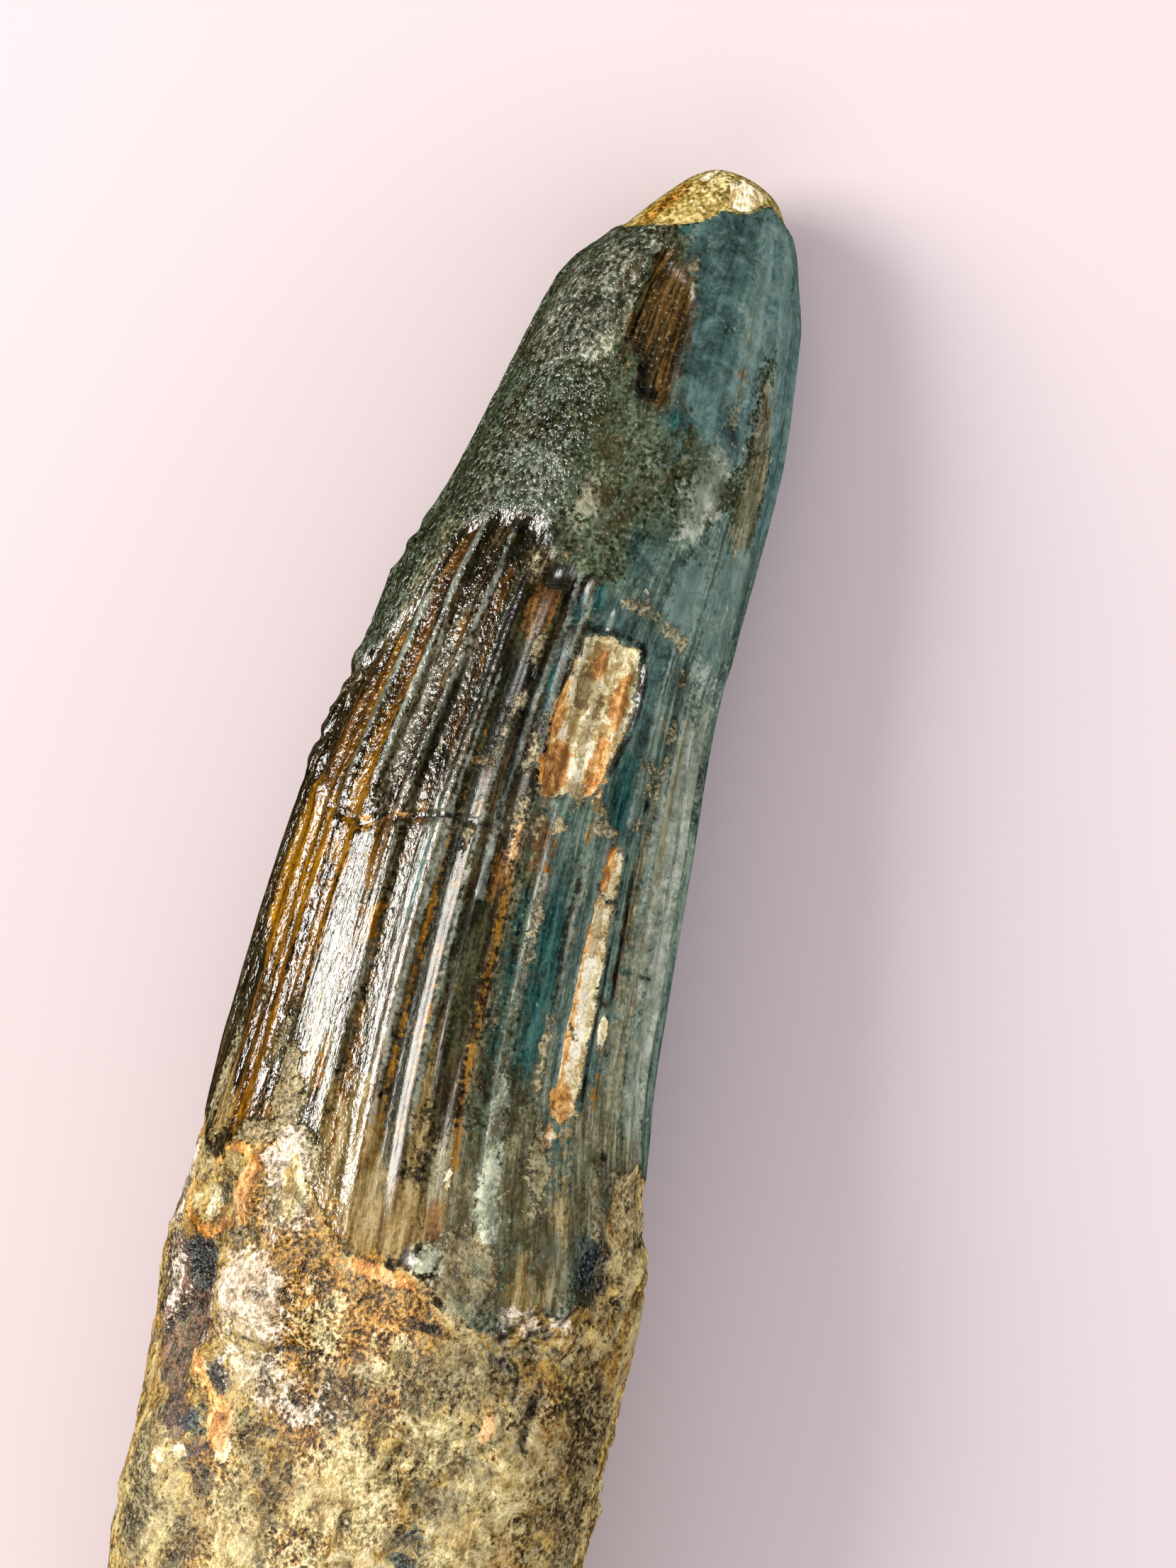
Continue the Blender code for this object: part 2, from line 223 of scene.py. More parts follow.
# Stains, crusts and bare patches that are spots, the pale grey right side partly painted sheen:
# distance, angle, half length and half width, all but the angle in mm
SPOTS = {
    "pale_slate": (
        (9, -40, 5.5, 1.4), (8, -62, 5.0, 1.6), (26, -66, 5.0, 3.0), (26, -42, 3.0, 1.6),
        (9, -33, 6.0, 0.25), (11, -47, 5.0, 0.3),
    ),
    # Pale grey stone down the right side, partly a painted sheen that lightens it towards the right edge
    "ash_and_sheen": (
        (42, -62, 10.0, 1.6), (50, -72, 12.0, 2.2), (38, -78, 8.0, 1.6), (54, -54, 5.0, 0.8),
        (20.3, -35, 2.6, 1.6),
    ),
    "haze": (
        (11.5, 23, 2.4, 1.0), (14.5, -60, 3.0, 1.5), (22.6, 7, 1.4, 1.0), (8.5, 33, 1.4, 0.7),
        (12.6, 29, 1.2, 0.8),
    ),
    "silver": (
        (21.5, 33, 2.4, 2.6), (23.2, 22, 2.0, 1.4), (17.0, 44, 3.4, 1.2), (23.4, 41, 1.2, 1.6),
        (4.6, 28, 0.5, 0.8), (9.0, 52, 2.6, 0.6), (12.0, 33, 1.4, 0.8), (36, 73, 6.0, 1.8),
    ),
    "bone": (
        (0.5, 40, 0.7, 2.4), (82.1, 56.5, 0.8, 0.4), (81.0, 49.7, 0.4, 0.4), (51.8, -47.5, 1.0, 0.35),
        (58.2, -34.5, 0.4, 0.35), (67.0, 56.5, 1.1, 0.35), (79.9, 36.5, 0.9, 0.5),
        (64.6, 31, 1.8, 0.8), (67.2, 62.4, 0.5, 0.5), (62.2, -7.6, 1.0, 0.2),
    ),
    "honey": (
        (33.2, -30, 2.0, 0.7), (36.8, -27.4, 1.9, 0.7), (34.2, -9.6, 2.2, 0.45),
        (37.6, -13.0, 1.8, 1.0), (31.2, -18.5, 0.8, 0.6), (43.0, -38.6, 1.6, 0.4),
        (51.5, -37.0, 5.0, 0.22), (56.2, -37, 1.2, 0.8),
    ),
    "taupe": (
        (32.7, -16.5, 1.6, 0.8), (35.2, -20, 1.3, 0.5), (38.6, -22, 0.7, 0.8), (46.5, -39.5, 2.0, 0.4),
        (36.8, -21, 1.6, 0.25), (33.6, -22.5, 1.0, 0.3),
    ),
    "ochre": (
        (78.7, 38.5, 1.4, 0.9), (65.7, 45.0, 1.6, 0.75), (75.8, 50.5, 0.7, 0.6),
        (43.6, 38, 0.35, 0.45), (42.6, 29, 0.25, 0.6), (33.4, -30.8, 1.5, 0.3),
        (37.2, -28.0, 1.3, 0.3), (35.5, -8.9, 1.2, 0.2), (67.8, 8, 0.45, 1.8), (42.6, -7, 1.0, 0.25),
        (74.8, -25.5, 0.75, 0.35), (58.2, -33.4, 0.6, 0.25),
    ),
    "gold": (
        (3.0, 52, 1.6, 2.0), (68.6, 24.5, 3.0, 2.4), (70.6, 8, 3.6, 4.0), (72.6, 22, 2.4, 2.4),
        (73.0, -40, 1.5, 1.4), (63.0, 41, 2.0, 1.4), (76.5, 14, 2.2, 2.4), (81.5, 40, 2.0, 2.0),
        (62.5, 38, 2.0, 0.6), (74.5, -1, 1.6, 2.0), (80.6, 44, 1.2, 0.8), (77.4, 13, 1.6, 1.4),
        (66.6, 36.8, 1.4, 0.4), (84.5, 12, 2.0, 2.6), (81.5, -6, 1.5, 1.4), (90, 40, 4.0, 3.0),
        (96, -20, 4.0, 3.0),
    ),
    "amber": (
        (47.5, 62, 6.0, 2.7), (36.5, 57, 5.0, 0.8), (42.5, 45, 5.4, 0.8), (49.5, 45, 4.0, 0.6),
        (38.2, 46, 3.0, 0.6), (57.5, 55, 5.0, 1.4), (62.0, 44, 1.6, 0.5), (48.5, 5.8, 9.0, 0.14),
        (48.6, 26.4, 1.2, 0.3), (44.8, 32.2, 1.8, 0.3), (51.6, 31.5, 1.2, 0.3), (57.8, 31, 1.6, 0.3),
        (10.0, 12.5, 3.0, 0.35), (52, 11.2, 6.0, 0.12), (57, 23, 5.0, 0.14),
    ),
    "russet": (
        (28.5, 46.0, 3.8, 0.7), (33.5, 45.5, 3.4, 0.8), (38.0, 61, 4.4, 1.1), (53.6, 56, 3.4, 0.5),
        (57.0, 60, 4.2, 1.2), (53.5, 49, 3.0, 0.5), (60.0, 50, 2.0, 0.6), (29.0, 7.0, 1.9, 1.0),
        (31.5, 31.5, 1.0, 0.5), (32.5, 20, 1.0, 0.3), (36.5, 20.5, 1.5, 0.5), (44.4, -5, 1.4, 0.6),
        (8.4, 29, 0.8, 0.35), (44.5, 30.5, 8.0, 0.3), (57.5, 22.5, 2.4, 0.35), (50.5, 16.3, 4.0, 0.2),
        (72.0, 66, 2.0, 0.5), (29.0, 22.5, 2.5, 0.3), (42.0, 22, 1.6, 0.3), (42.5, -14.5, 2.4, 0.6),
        (58.5, 14.5, 3.5, 0.3), (64.2, -5.5, 1.4, 0.4),
    ),
    "fawn": (
        (61.0, 63, 2.2, 1.2), (61.0, 18, 4.0, 2.0), (64.5, 9, 2.6, 2.6), (58.0, 36, 3.0, 0.4),
        (57.0, 3, 4.5, 0.7), (66.8, -28.5, 2.0, 1.7), (60.5, -39, 3.0, 0.25),
    ),
    "soot_and_shade": (
        (27.0, 5.5, 0.8, 1.0), (15.2, 1.5, 0.6, 1.1), (14.4, 5.5, 0.9, 0.35), (35.5, 8.0, 2.5, 0.5),
        (33.0, 7.0, 1.0, 0.9), (43.9, 8.4, 1.0, 0.5), (29.5, -9.3, 0.5, 0.4), (24.8, 17, 0.6, 1.2),
        (10.3, 38, 0.4, 0.9), (24.6, 26, 0.4, 1.0), (26.0, 24, 1.0, 0.6), (73.3, 23.2, 0.22, 0.55),
        (72.7, 7.5, 0.3, 0.55), (73.5, -38, 0.4, 0.3), (59.0, -54, 0.35, 0.22), (66.2, 53.8, 0.8, 0.4),
        (56.6, -15, 0.8, 0.25), (12.2, 46, 0.6, 0.4), (44.0, -28.4, 1.2, 0.2), (38.8, -47.6, 0.5, 0.3),
        (33.0, 17, 2.4, 0.35), (37.0, 25.6, 4.0, 0.3), (30.5, 16, 3.4, 0.4), (59.0, 61, 2.0, 0.4),
        (70.1, -8, 0.3, 0.9),
    ),
    "teal": (
        (50.0, -23.5, 5.6, 1.0), (48.5, -14, 3.6, 0.5), (53.6, -14.4, 2.4, 0.35),
        (69.7, -24.5, 0.6, 0.3), (65.5, -54, 1.8, 1.4), (27.4, -10.5, 1.0, 0.5),
        (28.6, -4.8, 1.6, 0.45), (38.2, -37, 2.6, 0.7), (33.0, -4.2, 3.0, 0.3), (4.7, 17, 0.5, 0.9),
        (16.5, -13, 0.6, 0.4), (66.8, -23, 1.2, 0.2), (73.1, -31.5, 0.6, 0.3), (46, 17, 3.0, 0.2),
    ),
    "crust": (
        (31.6, 4.0, 0.7, 0.35), (34.6, 3.9, 0.35, 0.3), (36.6, 6.0, 1.2, 0.3), (38.3, 8.2, 0.4, 0.25),
        (42.8, 7.0, 0.7, 0.4), (44.4, 9.5, 0.3, 0.3), (26.5, 15.5, 0.6, 0.4), (32.4, 23.5, 0.3, 0.3),
        (36.6, -46.5, 0.25, 0.5), (37.6, -48.6, 0.35, 0.4), (38.6, -45.5, 0.8, 0.2),
        (39.8, -47.5, 0.25, 0.5), (40.6, -33, 0.25, 0.6), (50.4, -45.5, 0.3, 0.8),
        (66.7, -14.5, 2.8, 1.6), (73.4, 6, 0.35, 0.6), (60.2, -31.5, 2.6, 0.7), (61.6, -52, 1.6, 0.35),
        (60.4, -67, 0.9, 2.8), (63.0, -66, 3.4, 1.6), (62.9, 30.5, 1.8, 1.4), (58.0, 41, 1.5, 0.8),
        (41.5, -6.5, 1.5, 0.4), (37.0, -4.5, 1.2, 0.25), (41.0, -19, 0.6, 0.4), (54.5, 60, 0.8, 0.3),
        (56.5, 47, 1.6, 0.5), (6.9, 0, 0.3, 0.4), (60.5, 71, 3.0, 0.7), (52.6, -12.8, 0.4, 0.3),
        (47.5, -18.5, 1.0, 0.2), (41.0, -12, 0.8, 0.4), (39.3, -23, 0.6, 0.4), (60, 38, 1.6, 1.2),
        (71.2, -18, 1.6, 0.8), (70.3, -33, 0.5, 2.0),
    ),
    "khaki": (
        (19.2, -61, 3.4, 1.9), (64.6, -28, 4.6, 3.4), (63.5, -13, 5.0, 2.4), (61.0, -52, 6.0, 2.6),
        (62.5, -68, 5.0, 2.4), (52.0, -57, 9.0, 0.9), (40.0, -61, 5.0, 0.6), (58.0, -10.5, 4.0, 0.4),
        (60.0, -24, 4.0, 0.9), (43.5, -50.5, 6.0, 0.35), (58.0, -28, 4.0, 0.7), (64.0, -30, 3.0, 1.4),
        (61.5, -44, 4.0, 0.6), (63.0, 10, 3.5, 1.2), (58.5, 36, 2.0, 0.2), (29.0, 57, 4.5, 1.1),
        (26.8, 12, 0.5, 0.4), (41.0, -12.5, 1.6, 0.6), (13.0, -38, 1.8, 0.4),
    ),
    "pink": (
        (63.8, 34, 2.0, 1.3), (75.2, 31, 0.7, 2.2), (68.8, -32, 0.5, 0.9), (68.5, -40.5, 0.5, 0.7),
        (65.6, 31, 1.4, 0.9), (67.0, 78, 2.4, 0.8), (76.4, 24, 0.5, 1.2), (70.8, 45.5, 1.7, 0.42),
        (72.5, 72, 1.4, 0.8),
    ),
    "pale": (
        (0.9, 15, 0.8, 2.8), (85.2, -1, 2.4, 2.2), (80.8, 2, 3.0, 2.4), (81.5, -26, 4.0, 2.4),
        (85.5, 24, 3.0, 2.6), (76.3, -34, 3.4, 2.4), (81.8, 57, 2.0, 1.6), (75.8, -32, 3.0, 1.7),
        (78.6, -36, 1.6, 1.0), (75.6, -13, 2.4, 1.9), (72.0, 17, 1.4, 1.0), (84.5, 30, 2.2, 2.2),
        (80.6, 62, 1.2, 2.0), (78.0, 76, 1.0, 1.4), (78.5, 4, 2.0, 1.4), (87.0, 55, 3.0, 2.0),
        (86.0, -6, 2.6, 2.4), (80.5, -30, 1.4, 2.0), (82.0, -66, 1.8, 2.0), (92.0, -30, 4.0, 3.0),
        (97.0, 35, 4.5, 3.0), (72.6, -1, 1.0, 1.2), (81.0, 28, 1.4, 1.0), (76.5, -46, 1.4, 0.8),
    ),
    "bark": (
        (72.8, -16, 1.6, 2.0), (74.6, -60, 3.6, 2.6), (82.0, -64, 7.0, 2.2), (84.5, 62, 7.0, 1.6),
        (75.2, 8, 1.2, 1.6), (87, 44, 5.0, 0.8), (96, 20, 7.0, 0.9), (71.8, -25.5, 1.3, 1.5),
        (79.4, 47.5, 1.2, 0.6), (79.9, -20, 1.4, 1.1), (82.6, -14, 1.0, 1.0), (81.5, 21, 0.9, 0.4),
        (79.9, 26.5, 0.7, 0.25), (76.1, 41, 0.8, 0.7), (74.6, 7, 1.3, 0.7), (73.0, -37, 1.2, 0.4),
        (78.9, -51, 2.0, 1.2), (77.6, -20, 0.8, 0.5), (77.3, -28, 1.1, 0.35), (74.2, -9, 0.5, 0.8),
    ),
    "deep_slate": (
        (10, -14, 8.0, 2.2), (5.0, -8, 2.6, 3.0), (15.5, -36, 2.0, 1.0), (24.5, -19, 2.0, 1.4),
        (28.6, -19, 1.6, 3.0), (33.5, -38.5, 6.0, 0.9), (38.5, -40, 3.0, 0.6), (47, -39, 6.0, 0.3),
    ),
    "mint": (
        (66.6, -4.5, 0.8, 0.6),
    ),
    "navy": (
        (70.3, 59, 1.8, 1.7), (79.2, 48.5, 1.0, 0.6), (65.3, -52, 2.0, 1.9), (69.8, -24.3, 0.8, 0.4),
        (82.7, -14.5, 0.9, 0.5), (75.9, 43.5, 0.9, 0.7),
    ),
    "pewter": (
        (50, 16.5, 11.0, 1.5), (51, 25.0, 10.0, 0.5), (52, 33.0, 10.0, 1.1), (36, 36, 6.0, 1.0),
        (36, 26, 5.0, 0.5),
    ),
    "moss": (
        (51, 7.0, 12.0, 1.1), (49, -2.5, 8.0, 0.7), (36.5, 9.5, 6.0, 0.8), (30, 6.5, 3.4, 1.3),
        (31, 46.5, 5.0, 0.7), (33, 18, 6.0, 0.5),
    ),
    "shine": (
        (52.0, 36.8, 10.5, 1.3), (52.0, 27.2, 10.5, 0.7), (48.0, 13.4, 15.0, 0.12),
        (54.0, -7.4, 6.0, 0.2), (46.5, 18.5, 10.0, 0.6),
    ),
}

# Stains that are thin lines, and a painted highlight and shadow drawn the same way: half width in mm,
# then points as distance and angle
LINES = {
    # Pale ridge lines: partly the ridges' own paler tone, partly a painted highlight along the crests
    "crest_and_highlight": (
        (0.3, (24.6, 42.5), (27, 41), (30, 40.6)), (0.2, (30, 40.6), (34, 40.6), (41, 40.4)),
        (0.14, (24.5, 29), (27.5, 26.2), (31, 27), (35, 28), (42, 29)),
        (0.33, (30, 50.5), (32, 52), (34.5, 52), (38, 52.6)), (0.2, (38, 52.6), (41, 52.4)),
        (0.22, (26.6, -1.5), (29, -2.8), (31, -2.2), (34, -0.8), (40, -0.4), (46, -1.2)),
        (0.14, (29, -7.6), (31.6, -6.4), (35, -6.6), (38, -7.0)),
        (0.16, (28.8, -43.6), (32, -43.2), (36, -42), (40, -41.6)),
        (0.2, (30, -55.2), (34, -54), (38, -53), (44, -54), (50, -55.6), (57, -57.5)),
        (0.16, (34, -56.5), (40, -57), (48, -58.6)),
        (0.2, (34, -65), (44, -65), (50, -67), (58, -69.5)),
        (0.14, (40, -29.6), (47, -29), (54, -29.4)), (0.12, (44, -18), (50, -18.4), (55, -18.6)),
        (0.12, (58, -15.4), (62, -15.8)), (0.12, (41, -36), (47, -35), (55, -34.2)),
        (0.1, (33, 13), (44, 13.2), (60, 13.6)), (0.1, (36, 4.4), (48, 3.6), (60, 3.4)),
    ),
    "soot_and_shade": (
        (0.16, (25, 49.5), (28, 50.4), (29.4, 52), (31, 56), (33, 58.4), (34, 61), (37, 64.6)),
        (0.14, (26, 3.0), (28, 0.6), (30, -0.8)), (0.15, (41.6, -0.6), (36, 0.8), (31, 0.4)),
        (0.1, (70.0, -24.6), (68.9, -29), (68.0, -33), (68.1, -36), (68.9, -37.4), (69.2, -33)),
        (0.1, (69.2, -38.5), (68.4, -40.6), (67.7, -43.6), (68.1, -46.4), (69.0, -47)),
        (0.1, (68.0, -50), (67.9, -51.4), (68.4, -51.8)),
        (0.1, (70.4, -24), (70.3, -28), (69.3, -33.6), (69.4, -38), (70.1, -42.4)),
        (0.11, (41.9, 0), (42.0, 6), (41.9, 12), (42.1, 17), (42.4, 23), (42.9, 27)),
        (0.11, (42.9, 50), (43.5, 44), (43.8, 40), (43.3, 36), (42.6, 33)),
        (0.13, (43.8, -35.5), (44.0, -38), (44.6, -42)), (0.1, (51.8, -36), (52.6, -39.5)),
        # Painted shadow along the top rim of the chip window
        (0.16, (29.5, -9.5), (29.3, -15), (29.4, -24), (29.7, -31)),
        (0.2, (29.9, -32), (31.0, -34.4), (33.0, -36.2), (34.9, -35.2), (36.2, -32.6), (37.4, -30.6)),
        (0.1, (73.4, 41), (73.6, 36), (73.7, 30), (73.5, 26)), (0.1, (71.0, -30.6), (73.3, -31.4)),
        (0.1, (74.6, -36.2), (75.9, -36.6)), (0.09, (67.5, 47), (70.5, 49.5), (73.4, 47)),
        (0.15, (50.0, -42), (50.4, -46), (50.2, -49)),
        (0.13, (41.6, -43), (44, -43.4), (50, -43.8), (56, -43.2)), (0.12, (48.4, -61), (48.5, -65)),
        (0.14, (43, -28), (47, -27.6), (51, -28)), (0.16, (43, -47.6), (46, -48.4), (50, -48.8)),
        (0.12, (31.4, -50), (31.9, -52.5)),
        (0.14, (12.9, 10), (13.4, 7.2), (14.8, 5.6), (15.6, 2.6), (15.9, -1.5)),
        (0.12, (6.2, 19), (8.0, 17.4), (10.4, 18.4)), (0.1, (30, 22), (40, 21), (41.5, 21)),
    ),
    "honey": (
        (0.25, (64.6, 58.5), (63.6, 53), (63.4, 47), (64.3, 42), (65.8, 41)),
        (0.35, (64.8, 70), (66.4, 68.6), (67.8, 65.6), (68.8, 58.5), (68.0, 52), (67.0, 44)),
        (0.3, (76.0, 50), (77.2, 44.5), (78.4, 39.5)),
        (0.2, (67.3, 14), (67.8, 8), (67.4, 2), (68.0, -2)),
        (0.16, (75.0, 82), (77.5, 71.5), (80.0, 66)),
    ),
    "amber": (
        (0.12, (45, -8.3), (52, -8.8), (61, -8.6), (64, -7)),
        (0.1, (41, -18.5), (45, -18), (49, -17.8)), (0.1, (44.6, -48.6), (47, -49), (49.4, -49)),
        (0.1, (52.4, -48.8), (57, -48.6)), (0.1, (39, -28.6), (42, -28.4)),
        (0.1, (46, 40.5), (55, 42)),
    ),
    "pale": (
        (0.45, (76.4, 82), (77.5, 71), (79.0, 61), (80.2, 50)),
        (0.3, (73.8, 41), (74.4, 36), (74.7, 24)),
    ),
    "crust": (
        (0.2, (29.0, -47), (28.3, -36), (27.7, -26), (27.4, -18)),
        (0.25, (12.9, 8), (12.8, 12), (12.6, 18)), (0.13, (52, -28.2), (57, -28.6)),
        (0.13, (30.4, -51), (34, -53.4), (38, -51.8)), (0.14, (36, -44.4), (36.9, -50)),
        (0.16, (39.4, -31), (40.4, -35), (41.2, -38)), (0.13, (32, -9.4), (29.4, -8.8)),
    ),
    "khaki": (
        (0.3, (26.8, -12), (28.0, -9.5), (29.4, -9.2)),
        (0.25, (40.5, -10.6), (46, -11.4), (52, -11.2)), (0.22, (43, -28.6), (50, -28.4), (58, -28.2)),
        (0.2, (39.5, -28), (42, -28.6)),
    ),
}

# Stains with an outline of their own
PATCHES = {
    "slate": (UPPER_SLATE, LOWER_SLATE),
    "bone": (TIP_CREAM,),
    "pink": (PINK_PATCH,),
    "mint": (MINT_PATCH,),
    "plum": (PLUM_STREAK,),
    "bark": (DARK_ROOT_SIDE,),
    "dusk": (DUSK_SIDE,),
}

# Grid of the skin: row or column, and where along or round the tooth it lies
ROW_PLACES = ((0, 0.0), (4, 0.3), (9, 1.0), (16, 2.8), (24, 4.8), (300, 82.0), (318, 106.0), (324, 108.8),
              (331, 119.0))
COLUMN_PLACES = ((0, -180.0), (34, -100.0), (266, 100.0), (300, 180.0))

# Odd numbers that scatter the random heights, and how far lengths are squeezed where a pattern
# runs down the tooth
SCATTER = np.array((12.9898, 78.233, 37.719))
SCATTER_SEED = 17.13
SCATTER_SPREAD = 43758.5453
SQUEEZE = 0.12


def along(knots, values, at):
    """A smooth curve through the knots, read at many places."""
    slopes = np.gradient(values, knots)
    i = np.clip(np.searchsorted(knots, at) - 1, 0, len(knots) - 2)
    gap = knots[i + 1] - knots[i]
    share = (at - knots[i]) / gap
    rest = 1.0 - share
    level = (1.0 + 2.0 * share) * rest ** 2 * values[i] + share ** 2 * (3.0 - 2.0 * share) * values[i + 1]
    return level + gap * (share * rest ** 2 * slopes[i] - share ** 2 * rest * slopes[i + 1])


def plain_skin(path, angle):
    """Points of the plain tooth in mm: down its side, round the rim and in over the broken face."""
    rim = path - (LENGTH - RIM_ROUNDING)
    bend = np.clip(rim / RIM_ROUNDING, 0.0, math.pi / 2)
    distance = np.where(rim < 0.0, path, LENGTH - RIM_ROUNDING + RIM_ROUNDING * np.sin(bend))
    inset = np.where(rim < 0.0, 0.0, RIM_ROUNDING * (1.0 - np.cos(bend)))
    inset = inset + np.maximum(rim - RIM_ROUNDING * math.pi / 2, 0.0)
    shrink = np.clip(1.0 - inset / FACE_RADIUS, 0.0, 1.0)
    knots = np.sqrt([row[0] for row in OUTLINE])
    left, right, under, top = (along(knots, np.array([row[i] for row in OUTLINE]), np.sqrt(distance))
                               for i in range(1, 5))
    turn = np.radians(angle)
    y = (left + right) / 2 + (left - right) / 2 * np.sin(turn) * shrink
    z = (top + under) / 2 + (top - under) / 2 * np.cos(turn) * shrink
    return np.stack((LENGTH / 2 - distance, y, z), axis=1)


def outward(path, angle):
    """The direction that points straight out of the plain tooth."""
    step = 0.02
    nothing = 1e-7
    lengthwise = plain_skin(path + step, angle) - plain_skin(np.maximum(path - step, 0.0), angle)
    crosswise = plain_skin(path, angle + 1.0) - plain_skin(path, angle - 1.0)
    normal = np.cross(crosswise, lengthwise)
    size = np.linalg.norm(normal, axis=1, keepdims=True)
    ends = np.where(path[:, None] < LENGTH / 2, (1.0, 0.0, 0.0), (-1.0, 0.0, 0.0))
    return np.where(size > nothing, normal / np.maximum(size, nothing), ends)


def ramp(value, low, high):
    """0 below low and 1 above high, turning smoothly between them."""
    share = np.clip((value - low) / (high - low), 0.0, 1.0)
    return share * share * (3.0 - 2.0 * share)


def rough(points, size, seed):
    """Smooth random heights from -1 to 1 in lumps of one size, the same on each run."""
    cells = points / size
    base = np.floor(cells)
    share = cells - base
    share = share * share * (3.0 - 2.0 * share)
    total = np.zeros(len(points))
    for corner in itertools.product((0.0, 1.0), repeat=3):
        wave = np.sin((base + corner) @ SCATTER + seed * SCATTER_SEED) * SCATTER_SPREAD
        weight = np.prod(np.where(np.array(corner) > 0.5, share, 1.0 - share), axis=1)
        total += weight * (wave - np.floor(wave))
    return 2.0 * total - 1.0


def layered(points, size, seed, layers=4):
    """Random heights with finer and fainter lumps on the coarse ones."""
    return sum(rough(points, size / 2 ** i, seed + i) / 2 ** i for i in range(layers)) / 1.6


def line_at(line):
    """The distance of a line round the tooth, at each point's angle."""
    return np.interp(angle, [point[0] for point in line], [point[1] for point in line])


def round_width(turned):
    """The width in mm along the skin of an angle round the tooth."""
    return np.radians(turned) * SKIN_RADIUS


def to_stretch(start, stop):
    """The distance in mm from each point to a straight stretch between two points of the skin."""
    x0, y0 = start[0], round_width(start[1])
    long, wide = stop[0] - x0, round_width(stop[1]) - y0
    share = np.clip(((path - x0) * long + (width - y0) * wide) / (long ** 2 + wide ** 2), 0, 1)
    return np.hypot(path - x0 - share * long, width - y0 - share * wide)


def in_outline(*corners):
    """Depth in mm inside a closed outline on the skin, negative outside it."""
    inside = np.zeros(len(path), bool)
    nearest = np.full(len(path), FAR)
    for start, stop in zip(corners[-1:] + corners[:-1], corners):
        nearest = np.minimum(nearest, to_stretch(start, stop))
        y0, y1 = round_width(start[1]), round_width(stop[1])
        if y0 != y1:
            crosses = (y0 > width) != (y1 > width)
            inside ^= crosses & (path < start[0] + (width - y0) * (stop[0] - start[0]) / (y1 - y0))
    return np.where(inside, nearest, -nearest)


def in_spot(distance, around, half_length, half_width):
    """Depth in mm inside a round or long spot, negative outside it."""
    reach = np.hypot((path - distance) / half_length, (width - round_width(around)) / half_width)
    return (1.0 - reach) * min(half_length, half_width)


def on_line(half_width, *points):
    """Depth in mm inside a thin line through points given as distance and angle."""
    nearest = np.full(len(path), FAR)
    for start, stop in zip(points, points[1:]):
        nearest = np.minimum(nearest, to_stretch(start, stop))
    return half_width - nearest


def any_of(*fields):
    """The union of several patches."""
    return np.max(fields, axis=0)


for other in bpy.data.objects:
    other.select_set(False)
columns, rows = COLUMN_PLACES[-1][0], ROW_PLACES[-1][0]
bpy.ops.mesh.primitive_grid_add(x_subdivisions=columns, y_subdivisions=rows, size=1.0)
tooth = bpy.context.object
tooth.name = "fossil_tooth"
flat = np.empty(len(tooth.data.vertices) * 3)
tooth.data.vertices.foreach_get("co", flat)
flat = flat.reshape(-1, 3) + 0.5
angle = np.interp(flat[:, 0] * columns, *zip(*COLUMN_PLACES))
path = np.interp(flat[:, 1] * rows, *zip(*ROW_PLACES))
width = round_width(angle)
plain = plain_skin(path, angle)
normal = outward(path, angle)
turn = np.radians(angle)
skin = np.stack((path, SKIN_RADIUS * np.cos(turn), SKIN_RADIUS * np.sin(turn)), axis=1)
streaked = skin * (SQUEEZE, 1.0, 1.0)

# Where the main kinds of surface lie, as depth in mm inside each
begin = line_at(FLUTES_BEGIN) + 0.35 * layered(skin, 1.5, 3)
end = line_at(CROWN_ENDS) + 0.3 * layered(skin, 1.2, 5)
fluted = np.minimum(path - begin, end - path)
root = path - end
tip = line_at(TIP_WEAR) - path
window = in_outline(*CHIP_WINDOW) + 0.12 * layered(skin, 0.8, 11)
strip = in_outline(*CREAM_STRIP) + 0.12 * layered(skin, 0.8, 13)
patch = in_outline(*BROWN_PATCH) + 0.15 * layered(skin, 0.9, 17)
face = ramp(path, LENGTH - 1.0, LENGTH + 0.6)

# Flutes: the gap to the nearest ridge line sets the height, and faint ridges stand between
wobble = angle + 1.1 * rough(streaked * (0.5, 1, 1), 3.0, 21)
lower_gap = (360.0 + RIDGES[-1] - RIDGES[0]) / (LOWER_RIDGE_COUNT + 1)
lower_ridges = [RIDGES[-1] - lower_gap * (i + 1) for i in range(LOWER_RIDGE_COUNT)]
ridges = np.array(list(RIDGES) + lower_ridges + [ridge + 360.0 for ridge in lower_ridges])
to_ridge = round_width(np.min(np.abs(wobble[:, None] - ridges), axis=1))
to_faint = round_width(np.min(np.abs(wobble[:, None] - np.array(FAINT_RIDGES)), axis=1))

# The flutes fade towards the root, and are smooth where the crown shines most
in_flutes = ramp(fluted, -0.2, 0.9) * (1.0 - ramp(path, end - 7.0, end - 0.5) * 0.85)
smooth_band = any_of(in_spot(52.0, 36.8, 11.0, 1.5), in_spot(52.0, 27.0, 11.0, 0.6),
                     in_spot(50.0, -2.5, 9.0, 0.8))
in_flutes *= 1.0 - 0.9 * ramp(smooth_band, -0.1, 0.3)
keep = 0.75 + 0.35 * rough(streaked, 2.5, 23)
relief = -FLUTE_DEPTH * ramp(to_ridge, 0.1, 0.85) * in_flutes * keep
faint_ridge = (1.0 - ramp(to_faint, 0.05, 0.4)) * in_flutes * ramp(rough(streaked, 4.0, 25), -0.5, 0.3)
relief += FAINT_HEIGHT * faint_ridge
relief += 0.04 * layered(streaked, 0.9, 31) * in_flutes
relief += FLUTES_STEP * (1.0 - ramp(path, begin - 0.8, begin + 0.8))

